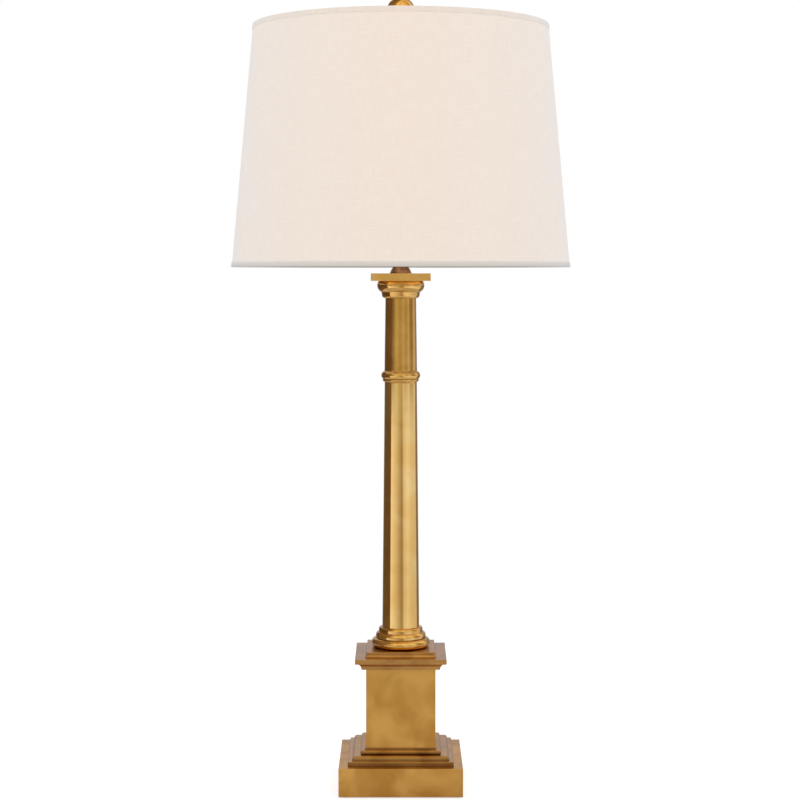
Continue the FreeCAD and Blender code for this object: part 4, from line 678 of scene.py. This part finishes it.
# drawn glass tube, pinched round the wires: clear, with a slight ripple
clear_glass, tree, shader = finish_of("clear_stem_glass", Transmission_Weight=0.95, IOR=1.5)
place = knot(tree, "ShaderNodeTexCoord").outputs["Object"]
ripple = knot(tree, "ShaderNodeTexNoise", {"Vector": place, "Scale": 1 / (5 * MM)})
gloss = knot(tree, "ShaderNodeMapRange", {
    "Value": ripple.outputs["Fac"], "To Min": 0.02, "To Max": 0.07})
tree.links.new(gloss.outputs["Result"], shader.inputs["Roughness"])
bump = knot(tree, "ShaderNodeBump", {
    "Height": ripple.outputs["Fac"], "Strength": 0.3, "Distance": 0.0003})
tree.links.new(bump.outputs["Normal"], shader.inputs["Normal"])
finished(clear_glass, "filament_stem")

# drawn and coiled tungsten: dark grey with bright turns 0.5 mm apart, coarser than real coils
# so that they show
tungsten, tree, shader = finish_of("coiled_tungsten_wire", Metallic=1.0,
                                   Base_Color=linear("#6E6F73"))
place = knot(tree, "ShaderNodeTexCoord").outputs["Object"]
coils = knot(tree, "ShaderNodeTexWave", {"Vector": place, "Scale": math.pi / 10 / (0.5 * MM)})
gloss = knot(tree, "ShaderNodeMapRange", {
    "Value": coils.outputs["Fac"], "To Min": 0.3, "To Max": 0.5})
tree.links.new(gloss.outputs["Result"], shader.inputs["Roughness"])
bump = knot(tree, "ShaderNodeBump", {
    "Height": coils.outputs["Fac"], "Strength": 0.8, "Distance": 0.0002})
tree.links.new(bump.outputs["Normal"], shader.inputs["Normal"])
finished(tungsten, "filament")


# Shade -----------------------------------------------------------------------------------------
# A hardback drum: white linen laminated to white styrene, rolled into a cone and lapped 12 mm at
# the back. Each edge is rolled round a steel hoop and covered with a tape of the same linen.

SHADE_FOOT_MM = 175.6
SHADE_HEAD_MM = 153.0
SHADE_MM = 250.6
LINEN_MM = 0.6
TAPE_MM = 5.5
LAP_MM = 12
LAP_RISE_MM = 0.4
SHADE_COLUMNS = 240
SHADE_ROWS = 24


def shade_half(height):
    """Outer radius of the linen, in mm, at a height in mm above the shade's lower edge."""
    return SHADE_FOOT_MM - (SHADE_FOOT_MM - SHADE_HEAD_MM) * height / SHADE_MM


def lap_rise(arc):
    """How far the linen's outer end stands up, by the distance past the seam, both in mm."""
    if arc < 0:
        return 0
    return LAP_RISE_MM * (1 if arc < LAP_MM else max(0, 1 - (arc - LAP_MM) / (2 * LAP_MM)))


def woven_linen(name, pale, dark, hem_painted_shade=False):
    """Plain-weave linen: uneven threads both ways with slubs, matt and slightly furry."""
    material, tree, shader = finish_of(name, Roughness=0.88, Sheen_Weight=0.08,
                                       Sheen_Roughness=0.5)
    place = knot(tree, "ShaderNodeTexCoord").outputs["Object"]
    axes = knot(tree, "ShaderNodeSeparateXYZ", {"Vector": place})
    back = knot(tree, "ShaderNodeMath", {0: axes.outputs["Y"], 1: -1.0}, operation="MULTIPLY")
    turn = knot(tree, "ShaderNodeMath", {0: axes.outputs["X"], 1: back.outputs[0]},
                operation="ARCTAN2")
    mean_radius = (SHADE_FOOT_MM + SHADE_HEAD_MM) / 2 * MM
    around = knot(tree, "ShaderNodeMath", {0: turn.outputs[0], 1: mean_radius},
                  operation="MULTIPLY")
    cloth = knot(tree, "ShaderNodeCombineXYZ", {"X": around.outputs[0], "Y": axes.outputs["Z"]})
    # real linen has a thread every 0.5 mm; these are 0.9 mm, so that the render can show them
    thread, slub = 1 / (0.9 * MM), 1 / (16 * MM)
    yarns = []
    for pull in ((thread, slub, 0), (slub, thread, 0)):
        laid = knot(tree, "ShaderNodeVectorMath", {0: cloth.outputs["Vector"], 1: pull},
                    operation="MULTIPLY")
        yarn = knot(tree, "ShaderNodeTexNoise", {
            "Vector": laid.outputs["Vector"], "Scale": 1.0, "Detail": 1.5})
        yarns.append(yarn.outputs["Fac"])
    weave = knot(tree, "ShaderNodeMath", {0: yarns[0], 1: yarns[1]}, operation="ADD")
    half = knot(tree, "ShaderNodeMath", {0: weave.outputs[0], 1: 0.5}, operation="MULTIPLY")
    tint = knot(tree, "ShaderNodeValToRGB", {"Fac": half.outputs[0]})
    tint.color_ramp.elements[0].position = 0.36
    tint.color_ramp.elements[0].color = linear(dark)
    tint.color_ramp.elements[1].position = 0.62
    tint.color_ramp.elements[1].color = linear(pale)
    colour = tint.outputs["Color"]
    # painted shade: the hem tape turns greyer towards its lower edge
    if hem_painted_shade:
        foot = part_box("lower_tape")[0].z
        hem_shade_share = knot(tree, "ShaderNodeMapRange", {
            "Value": axes.outputs["Z"], "From Min": foot, "From Max": foot + TAPE_MM * MM,
            "To Min": 1.0, "To Max": 0.25})
        hem_shaded_colour = knot(tree, "ShaderNodeMix", {
            0: hem_shade_share.outputs["Result"], 6: colour, 7: linear("#CFD0CE")}, data_type="RGBA")
        colour = hem_shaded_colour.outputs[2]
    tree.links.new(colour, shader.inputs["Base Color"])
    bump = knot(tree, "ShaderNodeBump", {
        "Height": half.outputs[0], "Strength": 0.25, "Distance": 0.0002})
    tree.links.new(bump.outputs["Normal"], shader.inputs["Normal"])
    return material


# the cone gets extra columns of points at these mm past the seam, to carry the lap
seam_arcs = [-0.2, 0, 4, 8, LAP_MM, 16, 20, 26, 32, 36]
columns = sorted({round(360 * i / SHADE_COLUMNS, 4) for i in range(SHADE_COLUMNS)}
                 | {round(math.degrees(arc / SHADE_FOOT_MM), 4) % 360 for arc in seam_arcs})
linen_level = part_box("shade_linen")[0].z
lift_mm = (linen_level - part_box("lower_tape")[0].z) / MM
linen_rise = (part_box("shade_linen")[1].z - linen_level) / MM
verts, faces = [], []
for inset in (0, LINEN_MM):
    for row in range(SHADE_ROWS + 1):
        rise = linen_rise * row / SHADE_ROWS
        for degrees in columns:
            past_seam = math.radians(degrees if degrees < 180 else degrees - 360)
            arc = past_seam * SHADE_FOOT_MM
            stand = shade_half(lift_mm + rise) - inset + (0 if inset else lap_rise(arc))
            angle = math.radians(degrees) + math.pi / 2
            verts.append((stand * math.cos(angle) * MM, stand * math.sin(angle) * MM,
                          linen_level + rise * MM))
count = len(columns)
inner = count * (SHADE_ROWS + 1)
for column in range(count):
    after = (column + 1) % count
    for row in range(SHADE_ROWS):
        low, high = row * count, (row + 1) * count
        faces.append((low + column, low + after, high + after, high + column))
        faces.append((inner + low + after, inner + low + column,
                      inner + high + column, inner + high + after))
    top = SHADE_ROWS * count
    faces.append((column, inner + column, inner + after, after))
    faces.append((top + column, top + after, inner + top + after, inner + top + column))
linen_mesh = bpy.data.meshes.new("shade_linen_cone")
linen_mesh.from_pydata(verts, [], faces)
linen_mesh.shade_smooth()
linen_mesh.set_sharp_from_angle(angle=math.radians(40))
linen = bpy.data.objects.new("shade_linen_cone", linen_mesh)
scene.collection.objects.link(linen)
# woven and bleached linen: warm white and matt, with uneven threads and slubs
shade_cloth = woven_linen("white_linen_weave", "#FAF4EE", "#F5EEE7")
fitted(linen, "shade_linen", shade_cloth, "shade")

# the same linen cut as tape and glued round the hoops: a shade greyer, and with painted shade
# greying the lower hem, where the tape turns under
tape_linen = woven_linen("white_linen_tape", "#F6F0EA", "#EAE4DE")
hem_linen = woven_linen("white_linen_hem_tape", "#F3F1EE", "#E8E6E2", hem_painted_shade=True)
lower_tape = fitted(swept("lower_linen_tape", [
    (171.1, 0), (175.5, 0, 0.7), (176.2, 0.7), (175.76, 4.9, 0.6), (175.2, TAPE_MM),
    (175.154, TAPE_MM), (175.596, 0.6), (171.046, 0.6),
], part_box("lower_tape")[0].z, round_ring, 0.1), "lower_tape", hem_linen, "shade")
head = SHADE_MM - TAPE_MM
upper_tape = fitted(swept("upper_linen_tape", [
    (shade_half(head) + 0.05, 0), (shade_half(head) + 0.1, 0, 0.6), (shade_half(head) + 0.55, 0.6),
    (SHADE_HEAD_MM + 0.6, TAPE_MM - 0.7, 0.7), (SHADE_HEAD_MM - 0.1, TAPE_MM),
    (SHADE_HEAD_MM - 4.5, TAPE_MM), (SHADE_HEAD_MM - 4.446, TAPE_MM - 0.6),
    (SHADE_HEAD_MM + 0.104, TAPE_MM - 0.6),
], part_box("upper_tape")[0].z, round_ring, 0.1), "upper_tape", tape_linen, "shade")

# extruded styrene sheet: smooth satin white, with faint clouds where the glue holds
styrene, tree, shader = finish_of("white_styrene_sheet", Roughness=0.4, IOR=1.55)
place = knot(tree, "ShaderNodeTexCoord").outputs["Object"]
glue = knot(tree, "ShaderNodeTexNoise", {"Vector": place, "Scale": 1 / (25 * MM), "Detail": 3})
tint = knot(tree, "ShaderNodeValToRGB", {"Fac": glue.outputs["Fac"]})
tint.color_ramp.elements[0].color = linear("#EDE9E1")
tint.color_ramp.elements[1].color = linear("#F6F3EC")
tree.links.new(tint.outputs["Color"], shader.inputs["Base Color"])
bump = knot(tree, "ShaderNodeBump", {
    "Height": glue.outputs["Fac"], "Strength": 0.2, "Distance": 0.0005})
tree.links.new(bump.outputs["Normal"], shader.inputs["Normal"])
finished(styrene, "shade_liner")

# steel wire, powder coated and baked: soft white gloss with a fine orange peel
powder_coat, tree, shader = finish_of("white_powder_coat", Roughness=0.35,
                                      Base_Color=linear("#E9E7E1"))
place = knot(tree, "ShaderNodeTexCoord").outputs["Object"]
peel = knot(tree, "ShaderNodeTexNoise", {"Vector": place, "Scale": 1 / (1.6 * MM), "Detail": 1})
bump = knot(tree, "ShaderNodeBump", {
    "Height": peel.outputs["Fac"], "Strength": 0.35, "Distance": 0.0001})
tree.links.new(bump.outputs["Normal"], shader.inputs["Normal"])
finished(powder_coat, "lower_hoop", "upper_hoop", "spider")


# Finial ----------------------------------------------------------------------------------------
# A ball on a waisted neck, both turned from brass bar, buffed and screwed on the stud to clamp
# the spider.

fitted(swept("finial_neck_turning", [
    (3.255, 0), (9, 0), (9, 1.6), (5.6, 3.2), (5.6, 9.6), (7.6, 10.8), (6.3, 12), (3.255, 12),
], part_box("finial_neck")[0].z, round_ring, 0.2), "finial_neck", turned_brass,
    "finial")
fitted(swept("finial_ball_turning", [
    (3.255, 0), (6.3, 0, 14.9), (14.9, 13.502, 14.9), (0, 28.402), (0, 6), (3.255, 6),
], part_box("finial_ball")[0].z, round_ring, 0.15), "finial_ball", turned_brass,
    "finial")


# Room ------------------------------------------------------------------------------------------
# A pale floor, a white backdrop and plain soft light. What polished metal mirrors is a studio:
# dim behind and to the left, with tall pale screens to the front on both sides.

world = bpy.data.worlds.new("studio")
world.use_nodes = True
scene.world = world
room = world.node_tree
room.nodes.clear()
look = knot(room, "ShaderNodeTexCoord").outputs["Generated"]
axes = knot(room, "ShaderNodeSeparateXYZ", {"Vector": look})
front = knot(room, "ShaderNodeMath", {0: axes.outputs["Y"], 1: -1.0}, operation="MULTIPLY")
bearing = knot(room, "ShaderNodeMath", {0: axes.outputs["X"], 1: front.outputs[0]},
               operation="ARCTAN2")
share = knot(room, "ShaderNodeMapRange", {
    "Value": bearing.outputs[0], "From Min": -math.pi, "From Max": math.pi})


def screens(stops):
    """Brightness of the room by bearing in degrees, 0 at the camera and positive to the right."""
    ramp = knot(room, "ShaderNodeValToRGB", {"Fac": share.outputs["Result"]})
    marks = ramp.color_ramp.elements
    while len(marks) < len(stops):
        marks.new(0.5)
    for mark, (angle, red, green, blue) in zip(marks, stops):
        mark.position = (angle + 180) / 360
        mark.color = (red, green, blue, 1)
    return ramp.outputs["Color"]


low_room = screens([
    (-180, 0.42, 0.42, 0.50), (-158, 0.40, 0.39, 0.44), (-148, 0.14, 0.10, 0.06),
    (-72, 0.14, 0.10, 0.06), (-67, 1.25, 1.25, 1.55), (-58, 1.05, 1.06, 1.28),
    (-28, 0.78, 0.80, 0.95), (-8, 0.55, 0.53, 0.54), (2, 0.43, 0.39, 0.34),
    (12, 0.43, 0.39, 0.34), (18, 0.78, 0.82, 0.98), (45, 0.98, 1.05, 1.4),
    (76, 0.84, 0.88, 1.05), (104, 0.78, 0.84, 1.05), (118, 0.74, 0.78, 0.95),
    (126, 0.26, 0.22, 0.18), (150, 0.24, 0.20, 0.18), (160, 0.40, 0.39, 0.44),
    (180, 0.42, 0.42, 0.50)])
eye_room = screens([
    (-180, 0.42, 0.42, 0.50), (-158, 0.40, 0.39, 0.44), (-148, 0.12, 0.085, 0.05),
    (-66, 0.19, 0.13, 0.08), (-52, 0.36, 0.32, 0.24), (-44, 0.46, 0.43, 0.34),
    (-35, 0.66, 0.62, 0.46), (-24, 0.66, 0.62, 0.46), (-10, 0.54, 0.50, 0.38),
    (8, 0.56, 0.52, 0.42), (17, 0.74, 0.70, 0.62), (30, 0.54, 0.50, 0.44),
    (48, 0.54, 0.50, 0.44), (57, 0.74, 0.72, 0.66), (74, 0.38, 0.31, 0.24),
    (96, 0.36, 0.29, 0.22), (106, 0.72, 0.72, 0.76), (120, 0.66, 0.66, 0.70),
    (137, 0.30, 0.26, 0.24), (180, 0.42, 0.42, 0.50)])
# rays that point below eye level meet the low screens, and the others the dimmer room over them
EYE_LEVEL = (-0.052, -0.045)
lift = knot(room, "ShaderNodeMapRange", {
    "Value": axes.outputs["Z"], "From Min": EYE_LEVEL[0], "From Max": EYE_LEVEL[1]})
rooms = knot(room, "ShaderNodeMix", {0: lift.outputs["Result"], 6: low_room, 7: eye_room},
             data_type="RGBA")
height = knot(room, "ShaderNodeMapRange", {
    "Value": axes.outputs["Z"], "From Min": -1.0, "From Max": 1.0})
tall = knot(room, "ShaderNodeValToRGB", {"Fac": height.outputs["Result"]})
tall_marks = tall.color_ramp.elements
# gain by how steeply a ray points, from -1 straight down to 1 straight up
TALL = [(-1.0, (1.0, 0.95, 0.88)), (-0.5, (1.35, 1.28, 1.1)), (-0.28, (1.2, 1.1, 0.9)),
        (-0.19, (1.03, 0.95, 0.78)), (-0.15, (0.88, 0.86, 0.8)), (-0.08, (1.0, 1.0, 1.0)),
        (0.05, (1.0, 1.0, 1.0)), (0.14, (1.42, 1.38, 1.25)), (0.19, (1.42, 1.38, 1.25)),
        (0.23, (1.05, 1.02, 0.92)), (0.35, (1.35, 1.3, 1.15)), (0.7, (2.0, 1.8, 1.4)),
        (1.0, (1.6, 1.4, 1.0))]
while len(tall_marks) < len(TALL):
    tall_marks.new(0.5)
for mark, (up, gain) in zip(tall_marks, TALL):
    mark.position = (up + 1) / 2
    mark.color = (*gain, 1)
mirrored = knot(room, "ShaderNodeVectorMath", {
    0: rooms.outputs[2], 1: tall.outputs["Color"]}, operation="MULTIPLY")
rays = knot(room, "ShaderNodeLightPath")
studio = knot(room, "ShaderNodeBackground", {"Color": mirrored.outputs["Vector"]})
# what lights the matt surfaces, warmer and dimmer from the camera's side
depth = knot(room, "ShaderNodeMapRange", {
    "Value": axes.outputs["Y"], "From Min": -1.0, "From Max": 1.0})
walls = knot(room, "ShaderNodeValToRGB", {"Fac": depth.outputs["Result"]})
walls.color_ramp.elements[0].color = (0.76, 0.66, 0.56, 1)
walls.color_ramp.elements[1].color = (0.92, 0.95, 0.98, 1)
side_wall = walls.color_ramp.elements.new(0.42)
side_wall.color = (0.93, 0.95, 1.0, 1)
soft = knot(room, "ShaderNodeBackground", {"Color": walls.outputs["Color"], "Strength": 1.0})
white = knot(room, "ShaderNodeBackground", {"Color": (1, 1, 1, 1), "Strength": 1.0})
lit = knot(room, "ShaderNodeMixShader", {
    0: rays.outputs["Is Glossy Ray"], 1: soft.outputs[0], 2: studio.outputs[0]})
seen = knot(room, "ShaderNodeMixShader", {
    0: rays.outputs["Is Camera Ray"], 1: lit.outputs[0], 2: white.outputs[0]})
knot(room, "ShaderNodeOutputWorld", {"Surface": seen.outputs[0]})

FLOOR_RADIUS = 0.75
FLOOR_SPOTS = 96
FLOOR_DROP = 0.0002
floor_mesh = bpy.data.meshes.new("floor")
floor_mesh.from_pydata(
    [(FLOOR_RADIUS * math.cos(math.tau * i / FLOOR_SPOTS),
      FLOOR_RADIUS * math.sin(math.tau * i / FLOOR_SPOTS), -FLOOR_DROP)
     for i in range(FLOOR_SPOTS)],
    [], [list(range(FLOOR_SPOTS))])
floor = bpy.data.objects.new("floor", floor_mesh)
scene.collection.objects.link(floor)
# matt floor paint: nearly white, with a glow that only the camera sees, so that it shows white
# round the lamp's soft shadow
floor_paint, tree, shader = finish_of("pale_floor")
tree.nodes.remove(shader)
paint = knot(tree, "ShaderNodeBsdfDiffuse", {"Color": linear("#DCDADA")})
glow = knot(tree, "ShaderNodeEmission", {"Color": (1, 1, 1, 1), "Strength": 0.55})
both = knot(tree, "ShaderNodeAddShader", {0: paint.outputs[0], 1: glow.outputs[0]})
rays = knot(tree, "ShaderNodeLightPath")
shown = knot(tree, "ShaderNodeMixShader", {
    0: rays.outputs["Is Camera Ray"], 1: paint.outputs[0], 2: both.outputs[0]})
tree.links.new(shown.outputs[0], tree.nodes["Material Output"].inputs["Surface"])
floor_mesh.materials.append(floor_paint)

# one wide warm disk over the camera lifts the middle of the shade
KEY_PLACE = (0, -2.4, 1.3)
KEY_AIM = (0, 0, 0.6)
key_data = bpy.data.lights.new("key", "AREA")
key_data.shape = "DISK"
key_data.size = 1.6
key_data.energy = 8
key_data.color = linear("#FFEBD8")[:3]
key = bpy.data.objects.new("key", key_data)
key.location = KEY_PLACE
key.rotation_euler = (Vector(KEY_AIM) - key.location).to_track_quat("-Z", "Y").to_euler()
key.visible_glossy = False
scene.collection.objects.link(key)

scene.view_settings.view_transform = "Standard"
